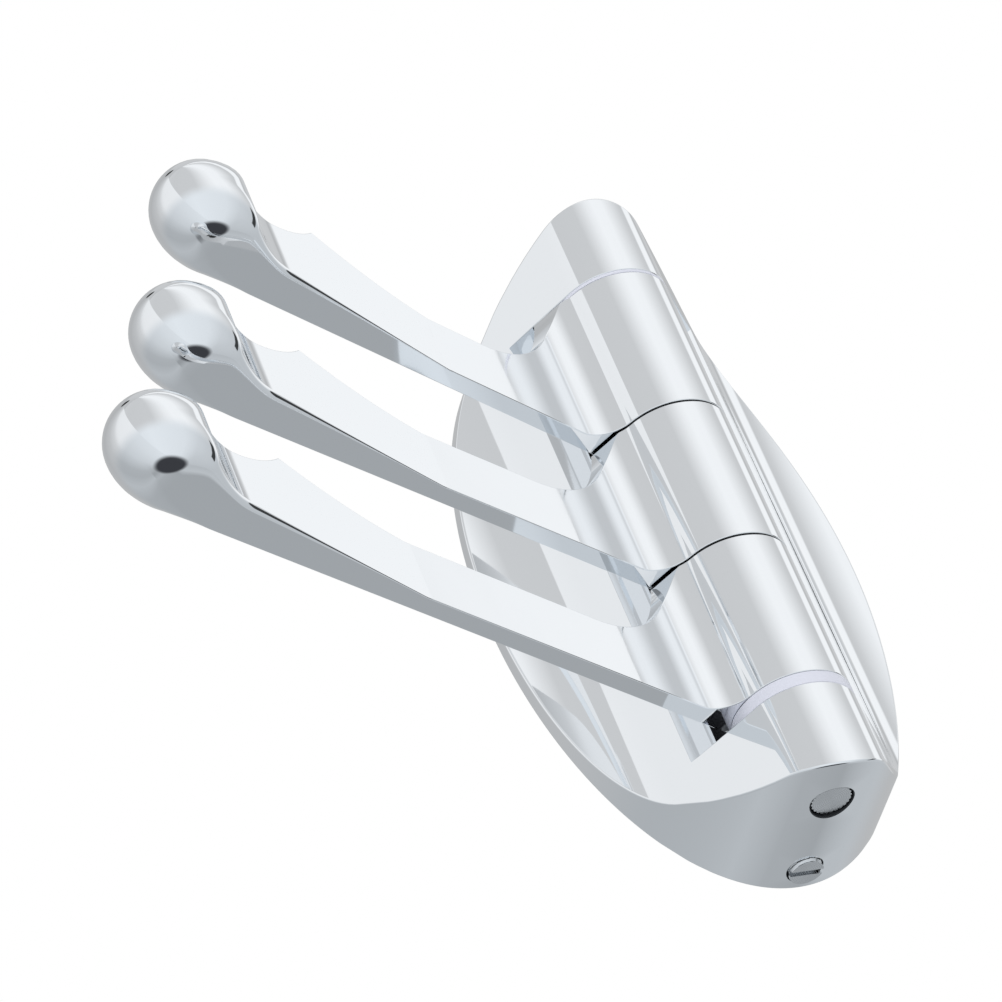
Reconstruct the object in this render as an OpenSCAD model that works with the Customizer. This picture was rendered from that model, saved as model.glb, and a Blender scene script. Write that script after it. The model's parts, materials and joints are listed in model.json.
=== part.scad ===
// Wall-mounted swivel hook with three arms on one upright pin.
// The wall is the plane y = 0 and the hook stands out of it towards -Y, with +Z up.
// The origin is the middle of the oval body on the wall, which is also the middle of the wall screws.

/* [Body] */
// Width of the oval body on the wall
plate_w = 55; // [48:0.5:64]
// Height of the oval body on the wall
plate_h = 102.2; // [98:0.2:120]
// Radius of the barrel down the middle of the body, and of the knuckles in it
barrel_r = 8.6; // [8:0.1:9.5]
// Distance of the hinge axis from the wall
axis_out = 18.2; // [17:0.1:22]
// Angle of the straight flank beside the barrel, from the wall plane
flank_angle = 57.4; // [54:0.2:62]
// Radius of the hollow sweep between the flank and the rim
dish_r = 13.3; // [12:0.1:16]
// Thickness of the body at its rim
rim_t = 2.4; // [2.3:0.1:3.4]
// Wall thickness of the casting
shell_t = 2; // [1.4:0.1:2.2]
// Width of the flat land round the back edge
land_w = 4.5; // [3:0.1:6]

/* [Window] */
// Height of each ear, between the window and the end of the body
ear_h = 13.7; // [12:0.1:16]
// Width of the window that holds the knuckles
window_w = 20.6; // [19:0.1:25]
// Thickness of the low frame on each side of the window
frame_t = 0.8; // [0.6:0.1:1.5]
// Distance of the top of that frame from the wall
frame_out = 14.6; // [13.6:0.1:15.6]
// Distance from the wall of the flat shelf outside the frame
shelf_out = 12.5; // [11.5:0.1:13.4]

/* [Stack in the window] */
// Thickness of the ring under the upper ear
top_washer_t = 0.5; // [0.3:0.1:1.5]
// Thickness of the spacers between the knuckles
spacer_t = 0.2; // [0.15:0.05:0.8]
// How far the spacers stay inside the knuckles' skin
spacer_recess = 0.4; // [0.3:0.1:1.5]
// Thickness of the plastic washer over the lower ear
bottom_washer_t = 1.9; // [1:0.1:3]
// End play at each face that turns
end_play = 0.05; // [0.03:0.01:0.1]

/* [Hinge pin] */
// Diameter of the hinge pin
pin_d = 6; // [5:0.1:7]
// How far the pin's lower end is sunk in the body
pin_sink = 0.5; // [0.2:0.1:1]
// Metal left in the upper ear over the pin
pin_cover = 6.7; // [5:0.1:8]
// Radial clearance of the knuckles on the pin
pin_clear = 0.05; // [0.03:0.01:0.1]
// Length of the knurled lower end
knurl_len = 6; // [3:0.5:10]
// Depth of the knurl
knurl_depth = 0.2; // [0.1:0.05:0.3]
// Number of teeth round the knurl
knurl_count = 24; // [16:1:30]

/* [Arms] */
// Reach of the upper, middle and lower arm, from the hinge axis to the middle of the ball
arm_reach = [90.3, 102, 116.8]; // [80:0.1:130]
// Angle of the upper, middle and lower arm to the left of straight out
arm_angle = [55.5, 56.9, 56.8]; // [40:0.1:65]
// Distance of the flat back of an arm from the hinge axis
arm_back = 7.2; // [6:0.1:8]
// Thickness of an arm next to its knuckle
arm_t = 2.6; // [1.8:0.1:3.2]
// Height of an arm where it is lowest
arm_h = 9.4; // [8:0.1:11]
// Radius of the sweep from the top of a knuckle down to its arm
web_r = 23.5; // [18:0.1:28]
// Flat left on a knuckle's upper edge before that sweep
web_step = 0.5; // [0:0.1:2]
// Radius of the fillet between an arm's front and its knuckle
root_r = 5; // [4.2:0.1:10]
// Distance from the ball back to the bend in the front face
bend_back = 48.4; // [42:0.1:52]
// Height that the ridge before the ball stands over the low part of the arm
ridge_rise = 3.6; // [2.8:0.1:6]
// Distance from the ball back to the ridge
ridge_back = 24.3; // [22:0.1:28]
// Distance from the ball back to where the rise to the ridge begins
rise_back = 50.7; // [46:0.1:54]
// Distance from the ball back to the lowest place of the neck
neck_back = 11.4; // [10:0.1:15]
// Drop from the ridge to the neck
neck_drop = 3.9; // [2.5:0.1:5]

/* [Ball] */
// Radius of the ball tip
ball_r = 6.6; // [6:0.1:7.5]
// Distance of the middle of the ball from the plane through the hinge axis
ball_back = 2.9; // [2:0.1:4]
// Distance of the arm's front face from that plane, level with the ball
face_back = 0.5; // [0:0.05:3]
// Radius of the sweep from the arm's front face to the ball
front_sweep_r = 14.5; // [8:0.1:20]
// Radius of the sweep from the neck's top to the ball
top_sweep_r = 9; // [5:0.1:12]
// Radius of the sweep from the arm's back to the ball
back_sweep_r = 15; // [8:0.1:20]

/* [Grub screw] */
// Diameter of the grub screw
grub_d = 4.9; // [4:0.1:5.5]
// Length of the grub screw
grub_len = 11.5; // [10.5:0.1:12]
// Distance of the grub screw from the wall
grub_out = 3.9; // [3.5:0.1:5]
// How far its slotted end stands out of the body
grub_proud = 0.5; // [0:0.1:1]
// Width of its slot
slot_w = 0.9; // [0.6:0.1:1.2]
// Depth of its slot
slot_depth = 1.2; // [0.8:0.1:2]
// Radial clearance of the grub screw in its thread
grub_clear = 0.05; // [0.03:0.01:0.1]
// Length of its pointed end
point_len = 2; // [1:0.1:3]
// Radius of its blunt point
point_r = 0.8; // [0.5:0.1:1.5]

/* [Wall bracket] */
// Width of the steel bracket
bracket_w = 23; // [20:0.5:25]
// Width of its bent lips
lip_w = 14; // [12:0.5:15]
// Sheet thickness of the bracket
bracket_t = 2; // [1.5:0.1:2.5]
// How far the bent lips stand out from the wall
lip_out = 8; // [7.5:0.1:9]
// Distance between the two wall screws
screw_spacing = 60; // [50:1:64]
// Diameter of the screw holes
screw_hole_d = 4.5; // [4:0.1:5.5]
// Height of the tongue that holds the top of the body
tongue_h = 4; // [3:0.1:4.5]
// Width of the block in the body that hangs behind the tongue
keeper_w = 12; // [8:0.5:16]
// Clearance between the body and the bracket
bracket_clear = 0.1; // [0.05:0.05:0.3]

/* [Hidden] */

$fn = 64;
// How far a cut runs past the face that it opens
overrun = 1;

// Flat sides of the oval and of the arcs drawn as outlines
oval_sides = 120;
arc_steps = 10;

plate_rx = plate_w / 2;
plate_rz = plate_h / 2;
window_rz = plate_rz - ear_h;
window_h = 2 * window_rz;
body_out = axis_out + barrel_r;
knuckle_back = axis_out - barrel_r;
pin_r = pin_d / 2;
bore_r = pin_r + pin_clear;
grub_r = grub_d / 2;
grub_hole_r = grub_r + grub_clear;

// The flank's outward normal, and the middle of the hollow sweep that the flank and the rim touch
flank_nx = sin(flank_angle);
flank_ny = -cos(flank_angle);
dish_y = -(rim_t + dish_r);
dish_x = (barrel_r + dish_r - flank_ny * (axis_out + dish_y)) / flank_nx;

// The knuckles share what the washers and the end play leave of the window
hooks = len(arm_reach);
loose_faces = 2 * hooks;
knuckle_h = (window_h - top_washer_t - bottom_washer_t - (hooks - 1) * spacer_t
  - loose_faces * end_play) / hooks;
knuckle_pitch = knuckle_h + spacer_t + 2 * end_play;
knuckle_rz = knuckle_h / 2;
first_knuckle_z = window_rz - top_washer_t - end_play - knuckle_rz;

// Heights in an arm, from the middle of its knuckle
arm_bottom = -knuckle_rz;
arm_low = arm_bottom + arm_h;
ridge_z = arm_low + ridge_rise;
neck_z = ridge_z - neck_drop;
ball_z = arm_bottom + ball_r;

// The front face past the bend runs straight from the arm's thickness to its place at the ball
arm_front = arm_back - arm_t;
face_slope = (arm_front - face_back) / bend_back;

// The fillet at the root runs from the front face into the knuckle, a hair past touching it
root_bite = pin_clear;
root_y = root_r - arm_front;
root_x = sqrt(pow(barrel_r + root_r - root_bite, 2) - pow(root_y, 2));
root_turn = 180 + atan2(root_y, root_x);

// The sweep over the arm begins at the knuckle's upper edge and ends level with the arm
web_x = barrel_r + web_step + sqrt(pow(web_r, 2) - pow(web_r - (knuckle_rz - arm_low), 2));

// Radii of the two hollow curves that meet in the ridge
rise_run = rise_back - ridge_back;
rise_r = (pow(rise_run, 2) + pow(ridge_rise, 2)) / (2 * ridge_rise);
neck_run = ridge_back - neck_back;
neck_r = (pow(neck_run, 2) + pow(neck_drop, 2)) / (2 * neck_drop);

// Places along the ball's fillets and cap, as shares, and the share of rounding at a corner
neck_rings = 5;
fillet_rings = 8;
cap_rings = 8;
corner_steps = 5;
crisp_share = 0.02;
last_ring_share = 0.98;
// Where the four corners of the tip are fully round, as shares of the ball's radius from its middle
round_front_top = 0.2;
round_back_top = -0.5;
round_back_bottom = 0.75;
round_front_bottom = 0.85;

// Bracket heights: the lips lie inside the hollow, clear of the land
hollow_rz = plate_rz - land_w;
bracket_top = hollow_rz * sqrt(1 - pow(bracket_w / (plate_w - 2 * land_w), 2)) - bracket_t;
grub_end = -plate_rz - grub_proud;
grub_tip = grub_end + grub_len;
point_depth = point_len / 2;
bracket_bottom = grub_tip - point_depth;
lip_hole_r = (grub_r + point_r) / 2 + grub_clear;
boss_w = 2 * grub_d;
boss_out = 2 * grub_out;
boss_top = bracket_bottom - bracket_t;

pin_bottom = -plate_rz + pin_sink;
pin_top = plate_rz - pin_cover;
pin_len = pin_top - pin_bottom;

// Points on a circle from one angle to another
function arc(centre, r, from, to, steps = arc_steps) = [
  for (i = [0:steps])
    let (a = from + (to - from) * i / steps)
    [centre.x + r * cos(a), centre.y + r * sin(a)]
];

// Points on an oval
function oval(rx, rz) = [
  for (i = [0:oval_sides - 1]) [rx * cos(360 * i / oval_sides), rz * sin(360 * i / oval_sides)]
];

// One side of the body's section, drawn in x and y, moved inwards by an inset
function side_points(inset, back) =
  let (
    edge = max(plate_rx, dish_x) + overrun,
    floor_y = inset - rim_t
  )
  [
    [0, back],
    [edge, back],
    [edge, floor_y],
    [dish_x, floor_y],
    [dish_x - flank_nx * (dish_r + inset), dish_y - flank_ny * (dish_r + inset)],
    [flank_nx * (barrel_r - inset), -axis_out + flank_ny * (barrel_r - inset)],
    [0, -axis_out]
  ];

// The body's section carried upwards: barrel, flanks and hollow sweeps
module ridge_form(inset = 0, back = 0) {
  translate([0, 0, -plate_rz]) {
    translate([0, -axis_out, 0])
      cylinder(r = barrel_r - inset, h = plate_h);
    for (side = [0, 1])
      mirror([side, 0, 0])
        linear_extrude(plate_h)
          difference() {
            polygon(side_points(inset, back));
            translate([dish_x, dish_y])
              circle(dish_r + inset);
          }
  }
}

// The oval shape as seen from the front, standing on the wall
module oval_block(inset, back) {
  translate([0, back, 0])
    rotate([90, 0, 0])
      linear_extrude(body_out + back + overrun)
        polygon(oval(plate_rx - inset, plate_rz - inset));
}

module outer_form() {
  intersection() {
    oval_block(0, 0);
    ridge_form();
  }
}

// Ends of the barrel round the pin, and the walls that close the window's ends
module ear_cores() {
  for (side = [0, 1])
    mirror([0, 0, side])
      translate([0, 0, window_rz]) {
        translate([0, -axis_out, 0])
          cylinder(r = barrel_r, h = plate_rz);
        translate([-plate_rx, -body_out, 0])
          cube([plate_w, 2 * barrel_r, shell_t]);
      }
}

// Block at the top of the hollow that hangs on the bracket's lip, behind its tongue
module keeper() {
  low = bracket_top + bracket_clear;
  deep = lip_out - bracket_t - 2 * bracket_clear;
  translate([-keeper_w / 2, -deep - bracket_clear, low])
    cube([keeper_w, deep, plate_rz - low]);
}

// Boss that carries the thread of the grub screw
module grub_boss() {
  translate([-boss_w / 2, -boss_out, -plate_rz])
    cube([boss_w, boss_out, plate_rz + boss_top]);
}

// Solid behind the frame and the shelves, so that the hollow leaves them a full wall
module shelf_core() {
  translate([-plate_rx, -frame_out, -window_rz])
    cube([plate_w, frame_out - shelf_out + shell_t, window_h]);
}

// The opening for the knuckles, and what is cut off over the frame and the shelves beside it
module window() {
  translate([-window_w / 2, -body_out - overrun, -window_rz])
    cube([window_w, body_out, window_h]);
  translate([-plate_rx, -body_out - overrun, -window_rz])
    cube([plate_w, body_out + overrun - frame_out, window_h]);
  for (side = [0, 1])
    mirror([side, 0, 0])
      translate([window_w / 2 + frame_t, -frame_out - overrun, -window_rz])
        cube([plate_rx, frame_out + overrun - shelf_out, window_h]);
}

module hollow() {
  difference() {
    intersection() {
      oval_block(land_w, overrun);
      ridge_form(shell_t, overrun);
    }
    ear_cores();
    shelf_core();
    keeper();
    grub_boss();
  }
}

module body() {
  color("gainsboro")
    difference() {
      outer_form();
      hollow();
      window();
      translate([0, -axis_out, -plate_rz - overrun])
        cylinder(r = bore_r, h = plate_rz + overrun + pin_top);
      translate([0, -grub_out, -plate_rz - overrun])
        cylinder(r = grub_hole_r, h = plate_rz + overrun);
    }
}

module wall_bracket() {
  tall = bracket_top - bracket_bottom;
  color("silver")
    difference() {
      union() {
        translate([-bracket_w / 2, -bracket_t, bracket_bottom])
          cube([bracket_w, bracket_t, tall]);
        for (low = [bracket_bottom, bracket_top - bracket_t])
          translate([-lip_w / 2, -lip_out, low])
            cube([lip_w, lip_out, bracket_t]);
        translate([-lip_w / 2, -lip_out, bracket_top - bracket_t])
          cube([lip_w, bracket_t, tongue_h + bracket_t]);
      }
      for (z = [-screw_spacing / 2, screw_spacing / 2])
        translate([0, overrun, z])
          rotate([90, 0, 0])
            cylinder(d = screw_hole_d, h = bracket_t + 2 * overrun);
      translate([0, -grub_out, bracket_bottom - overrun])
        cylinder(r = lip_hole_r, h = bracket_t + 2 * overrun);
    }
}

module grub_screw() {
  shank = grub_len - point_len;
  color("dimgray")
    translate([0, -grub_out, grub_end])
      difference() {
        union() {
          cylinder(r = grub_r, h = shank);
          translate([0, 0, shank])
            cylinder(r1 = grub_r, r2 = point_r, h = point_len);
        }
        translate([-grub_r - overrun, -slot_w / 2, -overrun])
          cube([2 * (grub_r + overrun), slot_w, slot_depth + overrun]);
      }
}

module hinge_pin() {
  tooth = 360 / knurl_count;
  color("lightsteelblue")
    translate([0, -axis_out, pin_bottom])
      difference() {
        cylinder(r = pin_r, h = pin_len);
        for (i = [0:knurl_count - 1])
          rotate([0, 0, tooth * i])
            translate([pin_r, 0, -overrun])
              cylinder(r = knurl_depth, h = knurl_len + overrun);
      }
}

// A ring on the pin, with its lower face at a height
module ring(low, high_t, outer_r) {
  translate([0, -axis_out, low])
    difference() {
      cylinder(r = outer_r, h = high_t);
      translate([0, 0, -overrun])
        cylinder(r = bore_r, h = high_t + 2 * overrun);
    }
}

module top_washer() {
  color("whitesmoke")
    ring(window_rz - top_washer_t, top_washer_t, barrel_r);
}

// Spacer under a knuckle, counted from the top
module spacer(index) {
  low = first_knuckle_z - index * knuckle_pitch - knuckle_rz - end_play - spacer_t;
  color("darkgray")
    ring(low, spacer_t, barrel_r - spacer_recess);
}

module bottom_washer() {
  color("lavender")
    ring(-window_rz, bottom_washer_t, barrel_r);
}

// Arm seen from above, x along the arm and y towards its front face
module plan_outline(reach) {
  tip = reach - ridge_back;
  polygon(concat(
    [
      [0, -arm_back],
      [tip, -arm_back],
      [tip, -face_back - face_slope * ridge_back],
      [reach - bend_back, -arm_front]
    ],
    arc([root_x, root_y], root_r, 270, root_turn),
    [[0, 0]]
  ));
}

// Arm seen from its front, x along the arm and y up
module side_outline(reach) {
  web_turn = acos(1 - (knuckle_rz - arm_low) / web_r);
  rise_turn = asin(rise_run / rise_r);
  polygon(concat(
    [[0, arm_bottom], [0, knuckle_rz]],
    arc([web_x, arm_low + web_r], web_r, 270 - web_turn, 270),
    arc([reach - rise_back, arm_low + rise_r], rise_r, 270, 270 + rise_turn),
    [[reach - ridge_back, arm_bottom]]
  ));
}

// Distance of the skin from the ball's middle line at a place x before the ball, for an arm face
// at a given level: level, then a sweep, then the ball
function skin(x, level, sweep_r) =
  let (
    far = sqrt(max(0, pow(ball_r + sweep_r, 2) - pow(level + sweep_r, 2))),
    near = far * ball_r / (ball_r + sweep_r)
  )
  x <= -far ? level
  : x <= -near ? level + sweep_r - sqrt(pow(sweep_r, 2) - pow(x + far, 2))
  : sqrt(max(0, pow(ball_r, 2) - pow(x, 2)));

// Top of the neck over the ball's middle, along the second hollow curve
function neck_top(x) =
  x >= -neck_back ? neck_z - ball_z
  : neck_z - ball_z + neck_r - sqrt(pow(neck_r, 2) - pow(x + neck_back, 2));

// Share of rounding of a corner: crisp at the neck, round at the ball
function rounding(x, done) =
  x <= -neck_back ? crisp_share
  : x >= done ? 1
  : crisp_share + (1 - crisp_share) * (1 - cos(180 * (x + neck_back) / (done + neck_back))) / 2;

// One ring of points round the tip at a place x, in the arm's own directions
function tip_ring(x) =
  let (
    front = skin(x, ball_back - face_back + face_slope * x, front_sweep_r),
    back = skin(x, arm_back - ball_back, back_sweep_r),
    top = skin(x, neck_top(x), top_sweep_r),
    bottom = x < 0 ? ball_r : skin(x, ball_r, top_sweep_r),
    half_w = (front + back) / 2,
    half_h = (top + bottom) / 2,
    mid_y = (front - back) / 2 - ball_back,
    mid_z = (top - bottom) / 2 + ball_z,
    corner = min(half_w, half_h)
  )
  [
    for (quarter = [0:3])
      let (
        side_y = (quarter == 0 || quarter == 3) ? 1 : -1,
        side_z = quarter < 2 ? 1 : -1,
        done = [round_front_top, round_back_top, round_back_bottom, round_front_bottom][quarter],
        r = corner * rounding(x, done * ball_r)
      )
      for (j = [0:corner_steps])
        let (a = 90 * (quarter + j / corner_steps))
        [
          x,
          mid_y + side_y * (half_w - r) + r * cos(a),
          mid_z + side_z * (half_h - r) + r * sin(a)
        ]
  ];

// Places of the rings from the ridge to the end of the ball
tip_places = concat(
  [for (i = [0:neck_rings - 1]) -ridge_back + neck_run * i / neck_rings],
  [for (i = [0:fillet_rings - 1]) -neck_back + (neck_back - ball_r / 2) * i / fillet_rings],
  [for (i = [0:cap_rings - 1]) -ball_r * cos(60 + 120 * i / cap_rings)],
  [ball_r * last_ring_share]
);

// The neck and the ball as one closed skin
module tip() {
  rings = [for (x = tip_places) tip_ring(x)];
  around = len(rings[0]);
  last = (len(rings) - 1) * around;
  polyhedron(
    points = [for (ring = rings) each ring],
    faces = concat(
      [[for (j = [0:around - 1]) j]],
      [
        for (i = [0:len(rings) - 2])
          for (j = [0:around - 1])
            let (
              a = i * around + j,
              b = i * around + (j + 1) % around
            )
            each [[a, a + around, b], [b, a + around, b + around]]
      ],
      [[for (j = [around - 1:-1:0]) last + j]]
    )
  );
}

// A hook with its knuckle, counted from the top
module hook(index) {
  reach = arm_reach[index];
  color(["aliceblue", "gainsboro", "lightgray"][index])
    translate([0, -axis_out, first_knuckle_z - index * knuckle_pitch])
      rotate([0, 0, -90 - arm_angle[index]])
        difference() {
          union() {
            translate([0, 0, -knuckle_rz])
              cylinder(r = barrel_r, h = knuckle_h);
            intersection() {
              translate([0, 0, -knuckle_h])
                linear_extrude(2 * knuckle_h)
                  plan_outline(reach);
              translate([0, barrel_r, 0])
                rotate([90, 0, 0])
                  linear_extrude(2 * barrel_r)
                    side_outline(reach);
            }
            translate([reach, 0, 0])
              tip();
          }
          translate([0, 0, -knuckle_h])
            cylinder(r = bore_r, h = 2 * knuckle_h);
        }
}

body();
wall_bracket();
grub_screw();
hinge_pin();
hook(0);  // upper_hook
hook(1);  // middle_hook
hook(2);  // lower_hook
top_washer();
spacer(0);  // upper_spacer
spacer(1);  // lower_spacer
bottom_washer();
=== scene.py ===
"""Wall-mounted swivel coat hook with three arms: its surfaces, finishes, light and camera.

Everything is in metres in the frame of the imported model: the wall is y = 0, the hook stands out
towards -Y, and +Z is up along the hinge pin.
"""

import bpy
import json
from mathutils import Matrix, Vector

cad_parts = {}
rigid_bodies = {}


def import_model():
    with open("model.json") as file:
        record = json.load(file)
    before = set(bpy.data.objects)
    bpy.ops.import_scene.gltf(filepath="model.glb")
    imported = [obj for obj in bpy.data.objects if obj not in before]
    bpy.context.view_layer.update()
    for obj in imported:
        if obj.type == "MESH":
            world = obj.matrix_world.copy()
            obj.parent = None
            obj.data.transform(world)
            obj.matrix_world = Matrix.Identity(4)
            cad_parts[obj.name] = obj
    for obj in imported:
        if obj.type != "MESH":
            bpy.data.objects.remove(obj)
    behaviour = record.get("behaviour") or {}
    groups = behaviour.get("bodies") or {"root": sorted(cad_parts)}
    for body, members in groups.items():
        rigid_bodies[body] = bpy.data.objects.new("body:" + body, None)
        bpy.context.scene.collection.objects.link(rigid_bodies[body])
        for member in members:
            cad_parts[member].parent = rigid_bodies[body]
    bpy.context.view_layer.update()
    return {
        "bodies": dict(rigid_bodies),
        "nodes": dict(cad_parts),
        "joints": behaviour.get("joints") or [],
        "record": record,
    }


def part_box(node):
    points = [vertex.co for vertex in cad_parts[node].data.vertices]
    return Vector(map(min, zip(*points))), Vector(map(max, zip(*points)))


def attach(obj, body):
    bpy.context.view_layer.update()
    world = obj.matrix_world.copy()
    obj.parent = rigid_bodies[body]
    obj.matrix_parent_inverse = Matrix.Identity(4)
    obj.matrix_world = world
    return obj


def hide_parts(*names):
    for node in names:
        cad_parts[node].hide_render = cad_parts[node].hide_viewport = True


bl_info = {
    "name": "Swivel Coat Hook",
    "version": (1, 0, 0),
    "blender": (4, 5, 0),
    "location": "3D View > Sidebar > Coat Hook",
    "description": "Chrome swivel coat hook with three ball-tipped arms on one pin",
    "category": "Add Mesh",
}

import json
import math

import bmesh
import bpy
import numpy as np
from bpy.props import FloatProperty, FloatVectorProperty, PointerProperty
from mathutils import Matrix, Vector

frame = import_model()

MM = 0.001
# Share of a parameter's range that is stepped to each side to find a surface's normal, and the step
# to each side that finds a section's slope
STEP_SHARE = 1e-4
SLOPE_STEP = 1e-7
# Points closer than this are one point. Places along an arm are rounded to this many decimals of a
# metre, and those this close to an end of a part are left out
WELD = 2e-6
SAME_PLACE = 6
END_CLEAR = 1e-5
# Faces across a rounded edge of the body and of an arm, half round an arm's bore, round a ring and
# round the pin, and along the body's outline where angles are looked up
EDGE_STEPS = 4
ROUND_STEPS = 12
BORE_STEPS = 16
RING_STEPS = 96
PIN_STEPS = 240
OUTLINE_STEPS = 40000
# Places along the hollow sweep from the ear to the widest part of the oval
DISH_STEPS = 40
# Half the width of the cells that carry the holes, the place in a row that stands at a cell's side,
# points on that side, and half the height of the cells of the pin and of the grub screw
CELL = 5 * MM
CELL_COLUMN = 8
CELL_SIDE = 9
PIN_CELL = 4.6 * MM
GRUB_CELL = 3.3 * MM
# Teeth of the pin's knurl, and how far in its lower edge is bevelled against a full round
KNURL_TEETH = 24
PIN_BEVEL = 0.6
# Depth of the thread at the slot against its full depth, and faces along its pitch
THREAD_START = 0.4
PITCH_STEPS = 8
# Width of the rings on turned steel, and the scale of Blender's wave for rings one unit wide
RING_WIDTH = 0.25 * MM
WAVE_SCALE = 0.3
FULL_TURN = 2 * math.pi
QUARTER_TURN = math.pi / 2
# Directions: up, out of the wall, and to the right as seen from the room
UP = np.array([0.0, 0, 1])
AHEAD = np.array([0.0, -1, 0])
RIGHT = np.array([1.0, 0, 0])
# Places of the two finishes in the body's list: chrome plating, and bare casting whose colour is darkened as
# painted shade
PLATED, CAST = 0, 1
# Where an arm's edges are fully round at the tip, for front or back and top or bottom, as a share of
# the ball's radius from its middle
FULLY_ROUND = {(True, True): 0.2, (False, True): -0.5, (False, False): 0.75, (True, False): 0.85}

ARMS = {"upper_hook": "upper_arm", "middle_hook": "middle_arm", "lower_hook": "lower_arm"}
RINGS = {
    "top_washer": "pale_nylon",
    "bottom_washer": "pale_nylon",
    "upper_spacer": "dark_acetal",
    "lower_spacer": "dark_acetal",
}

BODY_LOW, BODY_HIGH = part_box("body")
PIN_LOW, PIN_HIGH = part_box("hinge_pin")
GRUB_LOW, GRUB_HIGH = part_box("grub_screw")
BRACKET_LOW, BRACKET_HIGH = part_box("wall_bracket")
HINGE_OUT = -frame["joints"][0]["pos_m"][1]
HINGE = HINGE_OUT * AHEAD
PIN_R = (PIN_HIGH.x - PIN_LOW.x) / 2
GRUB_R = (GRUB_HIGH.x - GRUB_LOW.x) / 2
GRUB_OUT = -(GRUB_HIGH.y + GRUB_LOW.y) / 2


def linear(hex_colour):
    """sRGB hex such as #a0b1c2 to a linear RGBA colour."""
    parts = [int(hex_colour[i : i + 2], 16) / 255 for i in (1, 3, 5)]
    return tuple(p / 12.92 if p <= 0.04045 else ((p + 0.055) / 1.055) ** 2.4 for p in parts) + (1.0,)


def length(name, description, millimetres):
    """A length as a property, which Blender keeps in metres."""
    default = millimetres * MM
    return FloatProperty(name=name, description=description, default=default, unit="LENGTH", precision=5)


def colour(name, description, hex_colour):
    return FloatVectorProperty(
        name=name,
        description=description,
        default=linear(hex_colour),
        size=4,
        subtype="COLOR",
        min=0,
        max=1,
    )


class CoatHookBody(bpy.types.PropertyGroup):
    """Sizes of the oval cast body."""

    flank_angle: FloatProperty(
        name="Flank angle",
        description="Angle of the straight flank beside the barrel, from the wall",
        default=math.radians(57.4),
        subtype="ANGLE",
    )
    dish_r: length("Dish radius", "Radius of the hollow sweep between flank and rim", 13.3)
    rim_t: length("Rim thickness", "Thickness of the body at its rim", 2.4)
    shell_t: length("Shell thickness", "Wall thickness of the casting", 2)
    land_w: length("Land width", "Width of the flat land round the back edge", 4.5)
    ear_h: length("Ear height", "Height of each ear above and below the window", 13.7)
    window_w: length("Window width", "Width of the window that holds the knuckles", 20.6)
    frame_t: length("Frame thickness", "Thickness of the low frame on each side of the window", 0.8)
    frame_out: length("Frame out", "Distance of the frame's top from the wall", 14.6)
    shelf_out: length("Shelf out", "Distance of the flat shelf outside the frame from the wall", 12.5)
    rim_round: length("Rim rounding", "Radius of the polished outer edge", 0.4)
    back_round: length("Back rounding", "Radius of the edge on the wall", 0.25)
    seam_round: length("Seam rounding", "Radius of the ears' edges at the window", 0.18)
    window_round: length("Window rounding", "Radius of the window's long edges", 0.12)
    taper: length("Taper", "Length over which those two roundings fade at a corner", 1.5)
    hole_round: length("Hole rounding", "Radius of the edge of each hole", 0.15)
    hole_clear: length("Hole clearance", "Radial clearance of the pin and the grub screw", 0.05)
    grub_hole_depth: length("Grub hole depth", "Depth of the hole seen round the grub screw", 3)
    keeper_w: length("Keeper width", "Width of the block that hangs on the bracket", 12)
    tongue_h: length("Tongue height", "Height of the bracket's tongue", 4)
    bracket_clear: length("Bracket clearance", "Clearance round the bracket", 0.1)
    bracket_t: length("Bracket thickness", "Sheet thickness of the bracket", 2)


class CoatHookArm(bpy.types.PropertyGroup):
    """Sizes of the arms, which are alike but for their reach."""

    back: length("Back", "Distance of the flat back from the hinge axis", 7.2)
    thickness: length("Thickness", "Thickness next to the knuckle", 2.6)
    height: length("Height", "Height where the arm is lowest", 9.4)
    web_r: length("Web radius", "Radius of the sweep down from the knuckle", 23.5)
    web_step: length("Web step", "Flat left on the knuckle before the sweep", 0.5)
    crown_r: length("Crown radius", "Rounding where the sweep leaves the knuckle", 0.4)
    root_r: length("Root radius", "Radius of the fillet between front and knuckle", 5)
    bend_back: length("Bend", "Distance from the ball back to the bend", 48.4)
    ridge_rise: length("Ridge rise", "Height of the ridge over the low part", 3.6)
    ridge_back: length("Ridge", "Distance from the ball back to the ridge", 24.3)
    rise_back: length("Rise", "Distance from the ball back to the start of the rise", 50.7)
    neck_back: length("Neck", "Distance from the ball back to the neck's lowest place", 11.4)
    neck_drop: length("Neck drop", "Drop from the ridge to the neck", 3.9)
    ball_r: length("Ball radius", "Radius of the ball tip", 6.6)
    ball_back: length("Ball back", "Distance of the ball's middle behind the hinge plane", 2.9)
    face_back: length("Face back", "Distance of the front behind that plane, at the ball", 0.5)
    front_sweep: length("Front sweep", "Radius of the sweep from the front face to the ball", 14.5)
    top_sweep: length("Top sweep", "Radius of the sweep from the neck's top to the ball", 9)
    back_sweep: length("Back sweep", "Radius of the sweep from the back to the ball", 15)
    edge_round: length("Edge rounding", "Radius of the polished edges", 0.15)
    lower_round: length("Lower edge", "Radius of the front's lower edge where the tip begins", 0.9)


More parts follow.
